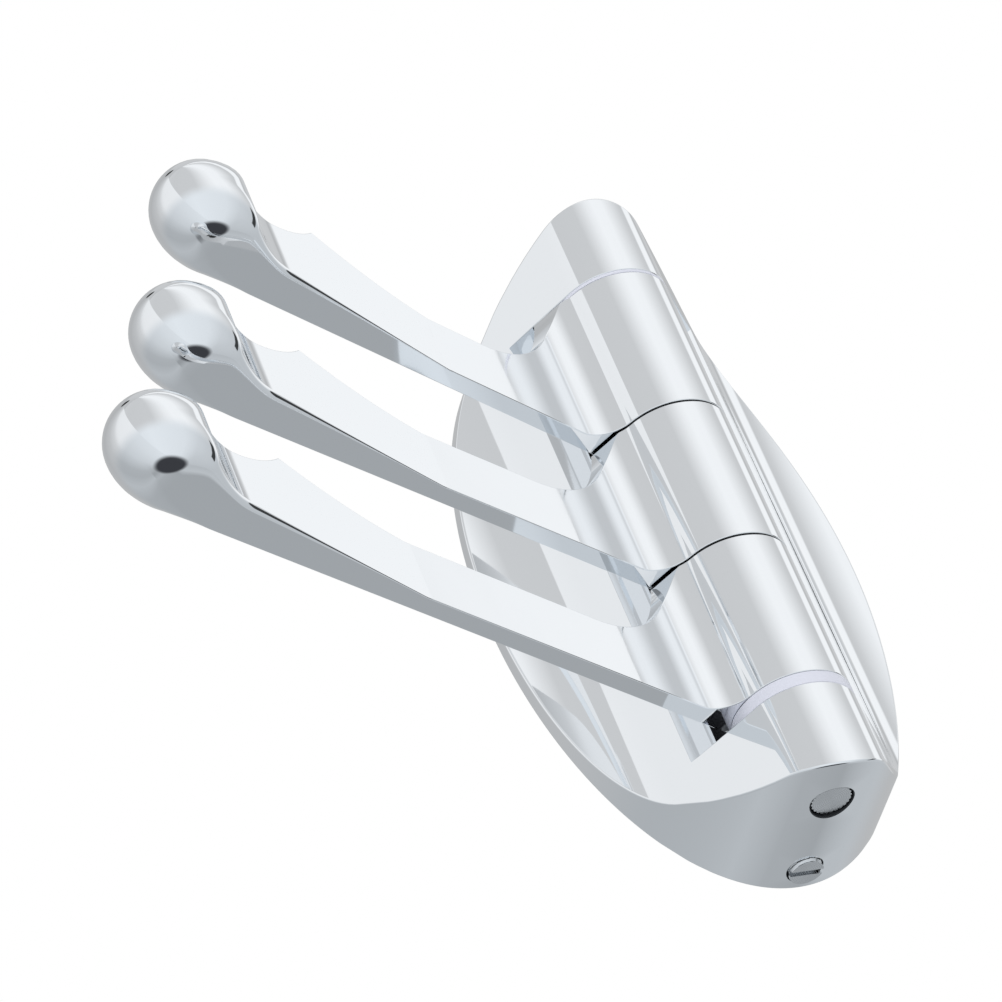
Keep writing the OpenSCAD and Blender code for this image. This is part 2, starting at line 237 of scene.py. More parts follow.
class CoatHookSmall(bpy.types.PropertyGroup):
    """Sizes of the pin, the grub screw and the rings."""

    pin_round: length("Pin edge", "Rounding of the pin's ends", 0.3)
    knurl_depth: length("Knurl depth", "Depth of the pin's knurl", 0.2)
    knurl_len: length("Knurl length", "Length of the knurled end", 6)
    thread_pitch: length("Thread pitch", "Pitch of the grub screw's thread", 0.8)
    thread_depth: length("Thread depth", "Depth of the grub screw's thread", 0.4)
    slot_w: length("Slot width", "Width of the grub screw's slot", 0.9)
    slot_depth: length("Slot depth", "Depth of the grub screw's slot", 1.2)
    point_len: length("Point length", "Length of the grub screw's point", 2)
    point_r: length("Point radius", "Radius of the blunt point", 0.8)
    ring_round: length("Ring rounding", "Rounding of the plastic rings' edges", 0.12)


class CoatHookColours(bpy.types.PropertyGroup):
    """Colours of the finishes."""

    chrome: colour("Chrome", "Bright chrome plating", "#f4f6f8")
    # The casting's tone is darker than bare zinc: painted shade for the hollow inside the body
    casting: colour("Casting", "Unplated zinc inside the body, darkened as painted shade", "#4b4d50")
    zinc: colour("Zinc plating", "Zinc-plated sheet steel, darkened as painted shade", "#4a4b4f")
    # The bracket's tone is dark as painted shade, for where it is seen through the window
    steel: colour("Steel", "Turned bright steel", "#dfe1e3")
    nylon: colour("Nylon", "Pale plastic rings", "#e4e5f0")
    acetal: colour("Acetal", "Dark plastic spacers", "#17181a")
    floor: colour("Floor", "Studio floor", "#f2f3f4")


def unit(vectors):
    """Vectors along the last axis, scaled to a length of one."""
    size = np.linalg.norm(vectors, axis=-1, keepdims=True)
    return vectors / np.where(size < 1e-30, 1, size)


def stack(x, y, z):
    """Three arrays, or numbers, side by side as points."""
    return np.stack(np.broadcast_arrays(x, y, z), axis=-1).astype(float)


def with_y(points, y):
    return stack(points[..., 0], y, points[..., 2])


def with_z(points, z):
    return stack(points[..., 0], points[..., 1], z)


def turn(a, b, share):
    """Unit vectors on the way from a to b, a share of the angle between them along."""
    between = np.arccos(np.clip(np.sum(a * b, axis=-1), -1, 1))[..., None]
    share = np.asarray(share, float)[..., None]
    sine = np.where(between < 1e-6, 1, np.sin(between))
    mixed = (np.sin((1 - share) * between) * a + np.sin(share * between) * b) / sine
    return np.where(between < 1e-6, a, mixed)


def arc(radius, x):
    """Height of a circle over its middle at a distance x beside it, and zero past its edge."""
    return np.sqrt(np.maximum(0, radius**2 - x**2))


def slope(height, x):
    """Slope of a section at x."""
    return (height(x + SLOPE_STEP) - height(x - SLOPE_STEP)) / (2 * SLOPE_STEP)


def surface(shape, u, v):
    """A surface shape(u, v) on a grid, with normals from the cross product of two small steps."""
    uu, vv = np.meshgrid(np.asarray(u, float), np.asarray(v, float), indexing="ij")
    du = STEP_SHARE * (uu.max() - uu.min())
    dv = STEP_SHARE * (vv.max() - vv.min())
    us = np.clip(uu, uu.min() + du, uu.max() - du)
    vs = np.clip(vv, vv.min() + dv, vv.max() - dv)
    across = shape(us + du, vs) - shape(us - du, vs)
    along = shape(us, vs + dv) - shape(us, vs - dv)
    return shape(uu, vv), unit(np.cross(across, along)), PLATED


def strip(first, last, normal, finish=PLATED):
    """Faces between two rows of points, with one normal for all or one for each pair."""
    points = np.stack([np.asarray(first, float), np.asarray(last, float)], axis=1)
    normals = np.asarray(normal, float)
    if normals.ndim == 2:
        normals = normals[:, None]
    return points, np.broadcast_to(normals, points.shape), finish


def rounded(middles, radius, start, end, finish=PLATED):
    """A rounded edge: about each middle an arc of that radius, turned from one normal to another."""
    share = np.linspace(0, 1, EDGE_STEPS + 1)[None, :]
    radius = np.broadcast_to(np.asarray(radius, float), len(middles))[:, None, None]
    start = np.broadcast_to(start, middles.shape)[:, None]
    end = np.broadcast_to(end, middles.shape)[:, None]
    normals = turn(start, end, share)
    return middles[:, None] + radius * normals, normals, finish


def mirrored(patches, axis):
    """The same patches, reflected along one axis."""
    sign = np.ones(3)
    sign[axis] = -1
    return [(points * sign, normals * sign, finish) for points, normals, finish in patches]


def block(low, high):
    """The six faces of a plain box, as cast."""
    low, high = np.array(low, float), np.array(high, float)
    patches = []
    for axis in range(3):
        a, b = [i for i in range(3) if i != axis]
        for end in (low, high):
            corners = np.tile(end, (4, 1))
            corners[:, a] = [low[a], low[a], high[a], high[a]]
            corners[:, b] = [low[b], high[b], low[b], high[b]]
            normal = np.zeros(3)
            normal[axis] = 1 if end is high else -1
            patches.append(strip(corners[:2], corners[2:], normal, CAST))
    return patches


def quads(rows, columns, start):
    """Corner numbers of the faces of a grid of points, numbered from start."""
    first = np.arange(rows * columns).reshape(rows, columns) + start
    return np.stack([first[:-1, :-1], first[1:, :-1], first[1:, 1:], first[:-1, 1:]], -1).reshape(-1, 4)


def set_own_normals(mesh):
    """Gives each face corner its stored normal, turned to the side that its face looks to."""
    stored = np.empty(len(mesh.loops) * 3, np.float32)
    mesh.attributes["own_normal"].data.foreach_get("vector", stored)
    facing = np.empty(len(mesh.polygons) * 3, np.float32)
    mesh.polygons.foreach_get("normal", facing)
    sides = np.empty(len(mesh.polygons), np.int32)
    mesh.polygons.foreach_get("loop_total", sides)
    stored = stored.reshape(-1, 3)
    facing = np.repeat(facing.reshape(-1, 3), sides, axis=0)
    blank = np.linalg.norm(stored, axis=1) < 0.5
    stored[blank] = facing[blank]
    stored *= np.where(np.sum(stored * facing, axis=1) < 0, -1, 1)[:, None]
    mesh.attributes.remove(mesh.attributes["own_normal"])
    mesh.polygons.foreach_set("use_smooth", np.ones(len(mesh.polygons), bool))
    mesh.normals_split_custom_set(stored)
    mesh.update()


def make_mesh(name, patches):
    """One closed mesh from patches: points are welded, faces are turned outwards, and each corner
    keeps the normal that its own patch gave it."""
    counts = [p[0].shape[0] * p[0].shape[1] for p in patches]
    starts = np.cumsum([0] + counts)
    points = np.concatenate([p[0].reshape(-1, 3) for p in patches])
    normals = np.concatenate([p[1].reshape(-1, 3) for p in patches])
    faces = [quads(*p[0].shape[:2], s) for p, s in zip(patches, starts)]
    marks = np.concatenate([np.full(len(f), p[2], np.int32) for f, p in zip(faces, patches)])
    corners = np.concatenate(faces)
    mesh = bpy.data.meshes.new(name)
    mesh.from_pydata(points, [], corners)
    mesh.polygons.foreach_set("material_index", marks)
    own = mesh.attributes.new("own_normal", "FLOAT_VECTOR", "CORNER")
    own.data.foreach_set("vector", normals[corners.ravel()].astype(np.float32).ravel())
    shell = bmesh.new()
    shell.from_mesh(mesh)
    bmesh.ops.remove_doubles(shell, verts=shell.verts, dist=WELD)
    bmesh.ops.recalc_face_normals(shell, faces=shell.faces)
    shell.to_mesh(mesh)
    shell.free()
    set_own_normals(mesh)
    return mesh


def make_piece(name, patches, finishes, body, node):
    """A mesh object that rides on a body and stands for a node."""
    mesh = make_mesh(name, patches)
    for finish in finishes:
        mesh.materials.append(finish)
    piece = bpy.data.objects.new(name, mesh)
    bpy.context.scene.collection.objects.link(piece)
    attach(piece, body)
    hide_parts(node)


def circle(steps):
    """Unit vectors once round in the x and y plane."""
    angle = np.linspace(0, FULL_TURN, steps + 1)
    return stack(np.cos(angle), np.sin(angle), 0)


def ring_patches(inner, outer, low, high, edge):
    """A ring about the hinge axis with rounded edges: four walls joined by four quarter arcs."""
    out = circle(RING_STEPS)

    def at(radius, z):
        return HINGE + out * radius + UP * z

    patches = [strip(at(outer, low + edge), at(outer, high - edge), out)]
    patches.append(strip(at(inner, low + edge), at(inner, high - edge), -out))
    for z, side in ((low, -UP), (high, UP)):
        inside = z - side[2] * edge
        patches.append(rounded(at(outer - edge, inside), edge, out, side))
        patches.append(strip(at(inner + edge, z), at(outer - edge, z), side))
        patches.append(rounded(at(inner + edge, inside), edge, -out, side))
    return patches


class BodyShape:
    """The cast body's section and outline, worked out from its sizes."""

    def __init__(self, sizes):
        self.sizes = sizes
        self.half_w = (BODY_HIGH.x - BODY_LOW.x) / 2
        self.half_h = (BODY_HIGH.z - BODY_LOW.z) / 2
        self.inner_w, self.inner_h = self.half_w - sizes.land_w, self.half_h - sizes.land_w
        self.barrel_r = -BODY_LOW.y - HINGE_OUT
        self.flank = np.array([math.sin(sizes.flank_angle), -math.cos(sizes.flank_angle), 0])
        self.dish_y = -(sizes.rim_t + sizes.dish_r)
        run = self.barrel_r + sizes.dish_r - self.flank[1] * (HINGE_OUT + self.dish_y)
        self.dish_x = run / self.flank[0]
        self.window_x = sizes.window_w / 2
        self.frame_x = self.window_x + sizes.frame_t
        self.crease_x = self.flank_x(-sizes.shelf_out)
        self.window_z = self.half_h - sizes.ear_h
        self.bulkhead_z = self.window_z + sizes.shell_t
        self.bulkhead = self.barrel_r - HINGE_OUT
        self.ceiling = sizes.shell_t - sizes.shelf_out
        # Heights of the points along the window's sides
        self.rows = np.array([0, self.window_z - sizes.taper, self.window_z])
        self.set_columns()

    def set_columns(self):
        """Places of the points across an ear and beside it, on its front and, as in_x, on its face at
        the window and inside. The seam's rounding sets these apart, and fades to none at the crease."""
        sizes = self.sizes
        lean = sizes.seam_round * self.flank[0]
        beside = [self.flank_x(y, sizes.shell_t) for y in (self.ceiling, self.bulkhead)]
        inner_x = np.array([self.window_x, self.frame_x, *beside])
        faded = (inner_x * sizes.taper + lean * self.crease_x) / (sizes.taper + lean)
        outer_x = np.where(self.crease_x - faded < sizes.taper, faded, inner_x + lean)
        turn_x = self.flank[0] * self.barrel_r
        # Each last number is how many places stand along that stretch
        barrel = [np.linspace(0, CELL, CELL_COLUMN + 1), np.linspace(CELL, turn_x, 8)[1:]]
        flank = [np.linspace(turn_x, outer_x[0], 4)[1:], outer_x[1:], [self.crease_x]]
        x = np.concatenate(barrel + flank)
        self.at_frame = len(x) - 4
        self.ear_angle = self.edge_angles(x)
        dish_start = self.edge_angles(self.dish_x - self.flank[0] * sizes.dish_r)
        self.side_angle = np.concatenate([self.ear_angle[-1:], np.linspace(dish_start, 0, DISH_STEPS)])
        self.ear, self.ear_normal = self.front_edge(self.ear_angle)
        self.ear[:, 0] = x
        self.seam = sizes.seam_round * np.clip((self.crease_x - x) / sizes.taper, 0, 1)
        inside = self.ear - self.seam[:, None] * self.ear_normal
        self.seam_middle = with_z(inside, self.window_z + self.seam)
        self.in_x = self.seam_middle[:, 0]
        self.in_angle = np.arccos(self.in_x / self.inner_w)
        self.in_side_angle = np.linspace(self.in_angle[-1], 0, len(self.side_angle))

    def flank_x(self, y, inset=0.0):
        """X at which the straight flank, moved inwards, passes a y."""
        r = self.barrel_r - inset
        return (r + self.flank[1] * -(y + HINGE_OUT)) / self.flank[0]

    def front(self, x, inset=0.0):
        """Y of the front at x, moved inwards: a circle about the hinge axis, a straight flank, then
        the hollow circle that ends in the rim."""
        x = np.abs(x)
        r = self.barrel_r - inset
        dish_r = self.sizes.dish_r + inset
        flank = -HINGE_OUT + self.flank[1] * r - (x - self.flank[0] * r) * self.flank[0] / self.flank[1]
        in_dish = x > self.dish_x - self.flank[0] * dish_r
        beside = np.where(in_dish, self.dish_y + arc(dish_r, x - self.dish_x), flank)
        return np.where(x < self.flank[0] * r, -HINGE_OUT - arc(r, x), beside)

    def front_normal(self, x, inset=0.0):
        """Unit normal of the front at x: away from the hinge axis on the barrel, the flank's own, and
        towards the dish's middle."""
        y = self.front(x, inset)
        barrel = stack(np.abs(x), y + HINGE_OUT, 0)
        dish = stack(self.dish_x - np.abs(x), self.dish_y - y, 0)
        in_dish = np.abs(x) > self.dish_x - self.flank[0] * (self.sizes.dish_r + inset)
        in_barrel = np.abs(x) < self.flank[0] * (self.barrel_r - inset)
        normal = np.where(in_barrel[..., None], barrel, np.where(in_dish[..., None], dish, self.flank))
        return unit(normal) * stack(np.where(x < 0, -1, 1), 1, 1)

    def shell_y(self, x):
        """Y of the shell's inside."""
        return self.front(x, self.sizes.shell_t)

    def bulkhead_y(self, x):
        """Y of the inside behind an ear's face at the window."""
        return np.maximum(self.shell_y(x), self.bulkhead)

    def pocket_y(self, x):
        """Y of the inside behind an ear, where the barrel stays solid round the pin."""
        core = np.where(np.abs(x) < self.barrel_r, arc(self.barrel_r, x) - HINGE_OUT, -np.inf)
        return np.maximum(self.shell_y(x), core)

    def ceiling_y(self, x):
        """Y of the inside beside the window."""
        return np.maximum(self.shell_y(x), self.ceiling)

    def outline(self, angle):
        """The oval and its outward normal at an angle."""
        cos, sin = np.cos(angle), np.sin(angle)
        points = stack(self.half_w * cos, 0, self.half_h * sin)
        return points, unit(stack(cos / self.half_w, 0, sin / self.half_h))

    def rim(self, angle):
        """Middle of the rounded edge between front and side wall, one radius inside both, with the
        normals of the front and of the side wall there."""
        points, side = self.outline(angle)
        middle = points - self.sizes.rim_round * side
        middle = with_y(middle, self.front(middle[..., 0], self.sizes.rim_round))
        return middle, self.front_normal(middle[..., 0], self.sizes.rim_round), side

    def front_edge(self, angle):
        """Where the front meets its rounded edge, and the front's normal there."""
        middle, front, _ = self.rim(angle)
        return middle + self.sizes.rim_round * front, front

    def side_wall(self, angle):
        """The straight side wall: its rows next to the front and to the back, and its normals."""
        middle, _, out = self.rim(angle)
        near = middle + self.sizes.rim_round * out
        return near, with_y(near, -self.sizes.back_round), out

    def edge_angles(self, x):
        """Angles on the upper right of the outline where the front's edge passes x."""
        angle = np.linspace(0, QUARTER_TURN, OUTLINE_STEPS + 1)
        edge = self.front_edge(angle)[0][:, 0]
        return np.interp(np.asarray(x), edge[::-1], angle[::-1])


def pierced(columns, near, far, holes, place, normal):
    """A wall from one row of places (near) to another (far), with round holes in it, each given by
    its middle, its radius and half the height of its cell. Rays fill a cell from the hole's ring to
    the cell's border, and strips fill the rest. Returns the faces and the rings."""
    patches, rings = [], []
    start = near
    for middle, radius, half in holes:
        low, high = np.full_like(columns, middle - half), np.full_like(columns, middle + half)
        patches.append(strip(place(columns, start), place(columns, low), normal(columns)))
        rise = np.linspace(-half, half, CELL_SIDE) + middle
        right, left = np.full(CELL_SIDE - 2, columns[-1]), np.full(CELL_SIDE - 1, columns[0])
        border_x = np.concatenate([columns, right, columns[::-1], left])
        border_y = np.concatenate([low, rise[1:-1], high, rise[-2::-1]])
        angle = np.arctan2(border_y - middle, border_x)
        ring = place(radius * np.cos(angle), middle + radius * np.sin(angle))
        patches.append(strip(ring, place(border_x, border_y), normal(border_x)))
        rings.append(ring)
        start = high
    patches.append(strip(place(columns, start), place(columns, far), normal(columns)))
    return patches, rings


def border_rows(near, far, holes):
    """Places of the points on the side of a pierced wall, from its near row to its far row."""
    rows = [np.linspace(-half, half, CELL_SIDE) + middle for middle, _, half in holes]
    return np.concatenate([[near], *rows, [far]])


def fan(first, near, far, normal, finish=PLATED):
    """Faces between a row of many points and two points: the first half of the row goes to one."""
    ends = np.where(np.arange(len(first))[:, None] < len(first) // 2, near, far)
    return strip(first, ends, normal, finish)


def bore(ring, out_y, edge, inward, end=None):
    """A hole as cast behind a ring, about an upright axis: its rounded edge, and where an end is
    given its wall, up to another ring or up to a height where it is closed."""
    middle = np.array([0, -out_y, 0])
    out = unit(with_z(ring - middle, 0))
    bead = rounded(ring + edge * inward, edge, -inward, -out, CAST)
    mouth = bead[0][:, -1]
    if end is None:
        return [bead]
    if np.ndim(end):
        return [bead, strip(mouth, end, -out, CAST)]
    floor = with_z(mouth, end)
    centre = np.broadcast_to(with_z(middle, end), floor.shape)
    return [bead, strip(mouth, floor, -out, CAST), strip(floor, centre, -inward, CAST)]


def both_sides(values, sign=-1):
    """A row from minus the last to the last, for values that start at the middle."""
    return np.concatenate([sign * values[:0:-1], values])


def front_faces(s):
    """A quarter of the front: the ear with its seam, the hollow sweep beside it, the flank with its
    edge at the window, the shelf, and the frame round the window."""
    patches = [strip(with_z(s.ear, s.window_z + s.seam), s.ear, s.ear_normal)]
    patches.append(rounded(s.seam_middle, s.seam, s.ear_normal, -UP))
    side, normal = s.front_edge(s.side_angle)
    side[0] = s.ear[-1]
    shoulder = side[:, 2] * s.window_z / side[0, 2]
    patches.append(strip(with_z(side, shoulder), side, normal))
    patches.append(strip(with_z(side, 0)[1:], with_z(side, shoulder)[1:], normal[1:]))

    soft = s.sizes.window_round * np.array([1, 1, 0])[:, None]
    corner = stack(s.crease_x, s.front(s.crease_x), s.rows)
    middle = corner - soft * (s.flank + AHEAD) / (1 + s.flank @ AHEAD)
    patches.append(rounded(middle, soft[:, 0], s.flank, AHEAD))
    dish_edge = with_z(np.tile(side[1], (3, 1)), np.array([0, shoulder[1], shoulder[1]]))
    patches.append(strip(middle + soft * s.flank, dish_edge, s.flank))

    crease = middle + soft * AHEAD
    shelf = stack(s.frame_x, -s.sizes.shelf_out, s.rows)
    frame_edge = with_y(shelf, -s.sizes.frame_out)
    window_edge = stack(s.window_x, -s.sizes.frame_out, s.rows)
    patches.append(strip(crease[:2], shelf[:2], AHEAD))
    shelf_end = stack(s.in_x[: s.at_frame - 1 : -1], -s.sizes.shelf_out, s.window_z)
    patches.append(fan(shelf_end, crease[1], shelf[1], AHEAD))
    patches.append(strip(shelf, frame_edge, RIGHT))
    patches.append(strip(frame_edge, window_edge, AHEAD))
    patches.append(strip(window_edge, with_y(window_edge, s.ceiling), -RIGHT))
    return patches


def inner_strip(depth, x, low, high):
    """Faces of the inside between two heights, whose y is a function of x."""
    normal = unit(stack(-slope(depth, x), 1, 0))
    return strip(stack(x, depth(x), low), stack(x, depth(x), high), normal, CAST)


def inner_faces(s):
    """A quarter of the inside, as cast: behind the ear its bulkhead and its pocket, beside them the
    shell in three steps, and the strip beside the window."""
    x, window_z, bulkhead_z = s.in_x, s.window_z, s.bulkhead_z
    patches = [inner_strip(s.bulkhead_y, x, window_z, bulkhead_z)]
    patches.append(inner_strip(s.pocket_y, x, bulkhead_z, s.inner_h * np.sin(s.in_angle)))
    step = stack(x, s.bulkhead_y(x), bulkhead_z)
    patches.append(strip(step, with_y(step, s.pocket_y(x)), UP, CAST))

    side_x = s.inner_w * np.cos(s.in_side_angle)
    side_top = s.inner_h * np.sin(s.in_side_angle)
    heights = [side_top * z / side_top[0] for z in (0, window_z, bulkhead_z, side_top[0])]
    for low, high in zip(heights, heights[1:]):
        patches.append(inner_strip(s.shell_y, side_x, low, high))

    under_x = x[s.at_frame :]
    under = stack(under_x[0], s.ceiling_y(under_x[0]), 0)
    window_back = stack(s.window_x, s.ceiling, s.rows)
    patches.append(fan(window_back, under, with_z(under, window_z), -AHEAD, CAST))
    patches.append(inner_strip(s.ceiling_y, under_x, 0, window_z))
    return patches


def rim_faces(s):
    """A quarter of the rim: its two rounded edges, the land on the wall, the inner wall as cast, and
    beside the ear the straight side wall."""
    sizes = s.sizes
    patches = [strip(*s.side_wall(s.side_angle))]
    ear, side = (s.ear_angle, s.in_angle, s.pocket_y), (s.side_angle, s.in_side_angle, s.shell_y)
    for angle, inner_angle, depth in (ear, side):
        middle, front, out = s.rim(angle)
        patches.append(rounded(middle, sizes.rim_round, front, out))
        back = with_y(s.outline(angle)[0] - sizes.back_round * out, -sizes.back_round)
        patches.append(rounded(back, sizes.back_round, out, -AHEAD))
        cos, sin = np.cos(inner_angle), np.sin(inner_angle)
        inner = stack(s.inner_w * cos, 0, s.inner_h * sin)
        patches.append(strip(with_y(back, 0), inner, -AHEAD))
        inward = -unit(stack(cos / s.inner_w, 0, sin / s.inner_h))
        patches.append(strip(inner, with_y(inner, depth(inner[:, 0])), inward, CAST))
    return patches


def ear_faces(s, pin_hole):
    """Half of the face that an ear turns to the window, beside the cell of the pin's hole."""
    cell, frame = CELL_COLUMN, s.at_frame
    window = frame - 1
    frame_y, shelf_y = -s.sizes.frame_out, -s.sizes.shelf_out
    face = stack(s.in_x, s.seam_middle[:, 1], s.window_z)
    back = with_y(face, s.bulkhead_y(s.in_x))
    rows = border_rows(face[cell, 1], back[cell, 1], [pin_hole])
    patches = [fan(stack(s.in_x[cell], rows, s.window_z), face[cell + 1], back[cell + 1], -UP)]
    patches.append(strip(face[cell + 1 : window], back[cell + 1 : window], -UP))
    rows = [face[window, 1], frame_y, s.ceiling, back[window, 1]]
    patches.append(fan(stack(s.window_x, rows, s.window_z), face[window - 1], back[window - 1], -UP))
    patches.append(strip(face[window : frame + 1], with_y(face[window : frame + 1], frame_y), -UP))
    outside = face[frame + 1 :]
    shelf = with_y(outside, shelf_y)
    rows = [face[frame, 1], frame_y, shelf_y]
    patches.append(fan(stack(s.frame_x, rows, s.window_z), outside[0], shelf[0], -UP))
    patches.append(strip(outside, shelf, -UP))
    under = with_y(face[window:-1], s.ceiling_y(s.in_x[window:-1]))
    patches.append(strip(under, back[window:-1], -UP, CAST))
    return patches


def pierced_faces(s, wall, pin_hole, grub_hole):
    """The pierced middles of the ears' faces and of the bottom wall, and the holes behind them."""
    cell = slice(CELL_COLUMN + 1)
    edge = s.sizes.hole_round
    columns = both_sides(s.in_x[cell])
    near = both_sides(s.seam_middle[cell, 1], 1)
    patches, ear_rings = [], []
    for up in (UP, -UP):
        faces, rings = pierced(
            columns,
            near,
            s.bulkhead_y(columns),
            [pin_hole],
            lambda x, y: stack(x, y, up[2] * s.window_z),
            lambda x: np.tile(-up, (len(x), 1)),
        )
        patches += faces
        ear_rings += rings

    def wall_z(x):
        return -s.half_h * np.sqrt(1 - (x / s.half_w) ** 2)

    wall_x = both_sides(wall[cell, 0])
    faces, rings = pierced(
        wall_x,
        both_sides(wall[cell, 1], 1),
        np.full_like(wall_x, -s.sizes.back_round),
        [pin_hole, grub_hole],
        lambda x, y: stack(x, y, wall_z(x)),
        lambda x: unit(stack(x / s.half_w**2, 0, wall_z(x) / s.half_h**2)),
    )
    patches += faces + bore(ear_rings[0], HINGE_OUT, edge, UP, PIN_HIGH.z)
    lower_edge = bore(ear_rings[1], HINGE_OUT, edge, -UP)
    patches += lower_edge + bore(rings[0], HINGE_OUT, edge, UP, lower_edge[0][0][:, -1])
    return patches + bore(rings[1], GRUB_OUT, edge, UP, s.sizes.grub_hole_depth - s.half_h)


def body_patches(sizes):
    """All faces of the cast body. One quarter is worked out and mirrored, apart from the pierced
    middles of the ears' faces and of the bottom wall. Two blocks stand inside: the keeper that hangs
    on the bracket, and the boss of the grub screw."""
    s = BodyShape(sizes)
    room = sizes.hole_clear + sizes.hole_round
    pin_hole = (-HINGE_OUT, PIN_R + room, PIN_CELL)
    grub_hole = (-GRUB_OUT, GRUB_R + room, GRUB_CELL)
    quarter = front_faces(s) + inner_faces(s) + rim_faces(s) + ear_faces(s, pin_hole)
    near, far, out = s.side_wall(s.ear_angle)
    cell, beside = CELL_COLUMN, CELL_COLUMN + 1
    rows = border_rows(near[cell, 1], far[cell, 1], [pin_hole, grub_hole])
    cell_side = with_y(np.tile(near[cell], (len(rows), 1)), rows)
    bottom = [
        strip(near[beside:], far[beside:], out[beside:]),
        fan(cell_side, near[beside], far[beside], (out[cell] + out[beside]) / 2),
    ]
    half = quarter + [strip(near, far, out)] + mirrored(quarter + bottom, 2)
    patches = half + mirrored(half, 0) + pierced_faces(s, near, pin_hole, grub_hole)

    clear, end = sizes.bracket_clear, s.half_h - sizes.land_w / 2
    keeper_y = BRACKET_LOW.y + sizes.bracket_t + clear
    keeper_low = BRACKET_HIGH.z - sizes.tongue_h + clear
    patches += block((-sizes.keeper_w / 2, keeper_y, keeper_low), (sizes.keeper_w / 2, -clear, end))
    boss_high = BRACKET_LOW.z - sizes.bracket_t
    return patches + block((-2 * GRUB_R, -2 * GRUB_OUT, -end), (2 * GRUB_R, -clear, boss_high))


class ArmShape:
    """One arm in its own directions: x along it, y towards its front and z up, from the hinge axis."""

    def __init__(self, sizes, node):
        low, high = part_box(node)
        self.sizes = sizes
        self.knuckle_r = -BODY_LOW.y - HINGE_OUT
        self.bottom, self.knuckle_top = low.z, high.z
        ball_x, ball_y = low.x + sizes.ball_r, low.y + sizes.ball_r + HINGE_OUT
        self.reach = math.sqrt(ball_x**2 + ball_y**2 - sizes.ball_back**2)
        self.heading = math.atan2(ball_y, ball_x) + math.atan2(sizes.ball_back, self.reach)
        self.front_back = sizes.back - sizes.thickness
        self.face_slope = (self.front_back - sizes.face_back) / sizes.bend_back
        self.root_y = sizes.root_r - self.front_back
        reach = self.knuckle_r + sizes.root_r
        self.root_x = math.sqrt(reach**2 - self.root_y**2)
        self.touch_x = self.knuckle_r * self.root_x / reach
        self.low_z = self.bottom + sizes.height
        self.step_x = self.knuckle_r + sizes.web_step
        fall = self.knuckle_top - self.low_z
        self.web_x = self.step_x + math.sqrt(sizes.web_r**2 - (sizes.web_r - fall) ** 2)
        self.web_turn = math.acos(1 - fall / sizes.web_r)
        self.crown_x = self.step_x - sizes.crown_r * math.tan(self.web_turn / 2)
        self.back_x = math.sqrt(self.knuckle_r**2 - sizes.back**2)
        self.ridge_x = self.reach - sizes.ridge_back
        run = sizes.rise_back - sizes.ridge_back
        self.rise_r = (run**2 + sizes.ridge_rise**2) / (2 * sizes.ridge_rise)
        self.ridge_z = self.low_z + sizes.ridge_rise
        self.neck_z = self.ridge_z - sizes.neck_drop
        run = sizes.ridge_back - sizes.neck_back
        self.neck_r = (run**2 + sizes.neck_drop**2) / (2 * sizes.neck_drop)
        self.ball_z = self.bottom + sizes.ball_r

    def skin(self, x, level, f):
        """Distance of a face from the ball's middle line at a place x before the ball: its level, then
        a sweep of radius f, then the ball."""
        r = self.sizes.ball_r
        far = arc(r + f, level + f)
        near = far * r / (r + f)
        fillet = level + f - arc(f, x + far)
        return np.where(x <= -far, level, np.where(x <= -near, fillet, arc(r, x)))

    def front_y(self, x):
        """The knuckle's circle, the root fillet, the flat front, and past the bend its slow slope;
        at the tip the ball's skin."""
        s = self.sizes
        root = self.root_y - arc(s.root_r, x - self.root_x)
        past = np.maximum(0, x - (self.reach - s.bend_back))
        plain = -self.front_back + self.face_slope * past
        tip_x = x - self.reach
        level = s.ball_back - s.face_back + self.face_slope * tip_x
        tip = -s.ball_back + self.skin(tip_x, level, s.front_sweep)
        arm = np.where(x < self.root_x, root, np.where(x < self.ridge_x, plain, tip))
        return np.where(x < self.touch_x, arc(self.knuckle_r, x), arm)

    def back_y(self, x):
        """The knuckle's circle, then the flat back, then the ball's skin."""
        s = self.sizes
        tip = -s.ball_back - self.skin(x - self.reach, s.back - s.ball_back, s.back_sweep)
        arm = np.where(x < self.ridge_x, -s.back, tip)
        return np.where(x < self.back_x, -arc(self.knuckle_r, x), arm)

    def top_z(self, x):
        """The knuckle's top, a small crown, the sweep down, the low part, the rise to the ridge, and
        past it the neck and the ball."""
        s = self.sizes
        crown_end = self.crown_x + s.crown_r * math.sin(self.web_turn)
        crown = self.knuckle_top - s.crown_r + arc(s.crown_r, x - self.crown_x)
        web = self.low_z + s.web_r - arc(s.web_r, x - self.web_x)
        rise_x = self.reach - s.rise_back
        rise = self.low_z + self.rise_r - arc(self.rise_r, x - rise_x)
        tip_x = x - self.reach
        neck = self.neck_z - self.ball_z + self.neck_r - arc(self.neck_r, tip_x + s.neck_back)
        level = np.where(tip_x >= -s.neck_back, self.neck_z - self.ball_z, neck)
        tip = self.ball_z + self.skin(tip_x, level, s.top_sweep)
        z = np.where(x < self.ridge_x, rise, tip)
        z = np.where(x < rise_x, self.low_z, z)
        z = np.where(x < self.web_x, web, z)
        z = np.where(x < crown_end, crown, z)
        return np.where(x < self.crown_x, self.knuckle_top, z)

    def bottom_z(self, x):
        """Level up to the ball's middle, then the ball."""
        tip_x = x - self.reach
        ball = self.ball_z - arc(self.sizes.ball_r, tip_x)
        return np.where(tip_x < 0, self.bottom, ball)

    def rounding(self, x, done):
        """Share of rounding of a corner: none at the neck and full at a place by the ball."""
        start = self.reach - self.sizes.neck_back
        share = np.clip((x - start) / (done - start), 0, 1)
        return (1 - np.cos(math.pi * share)) / 2

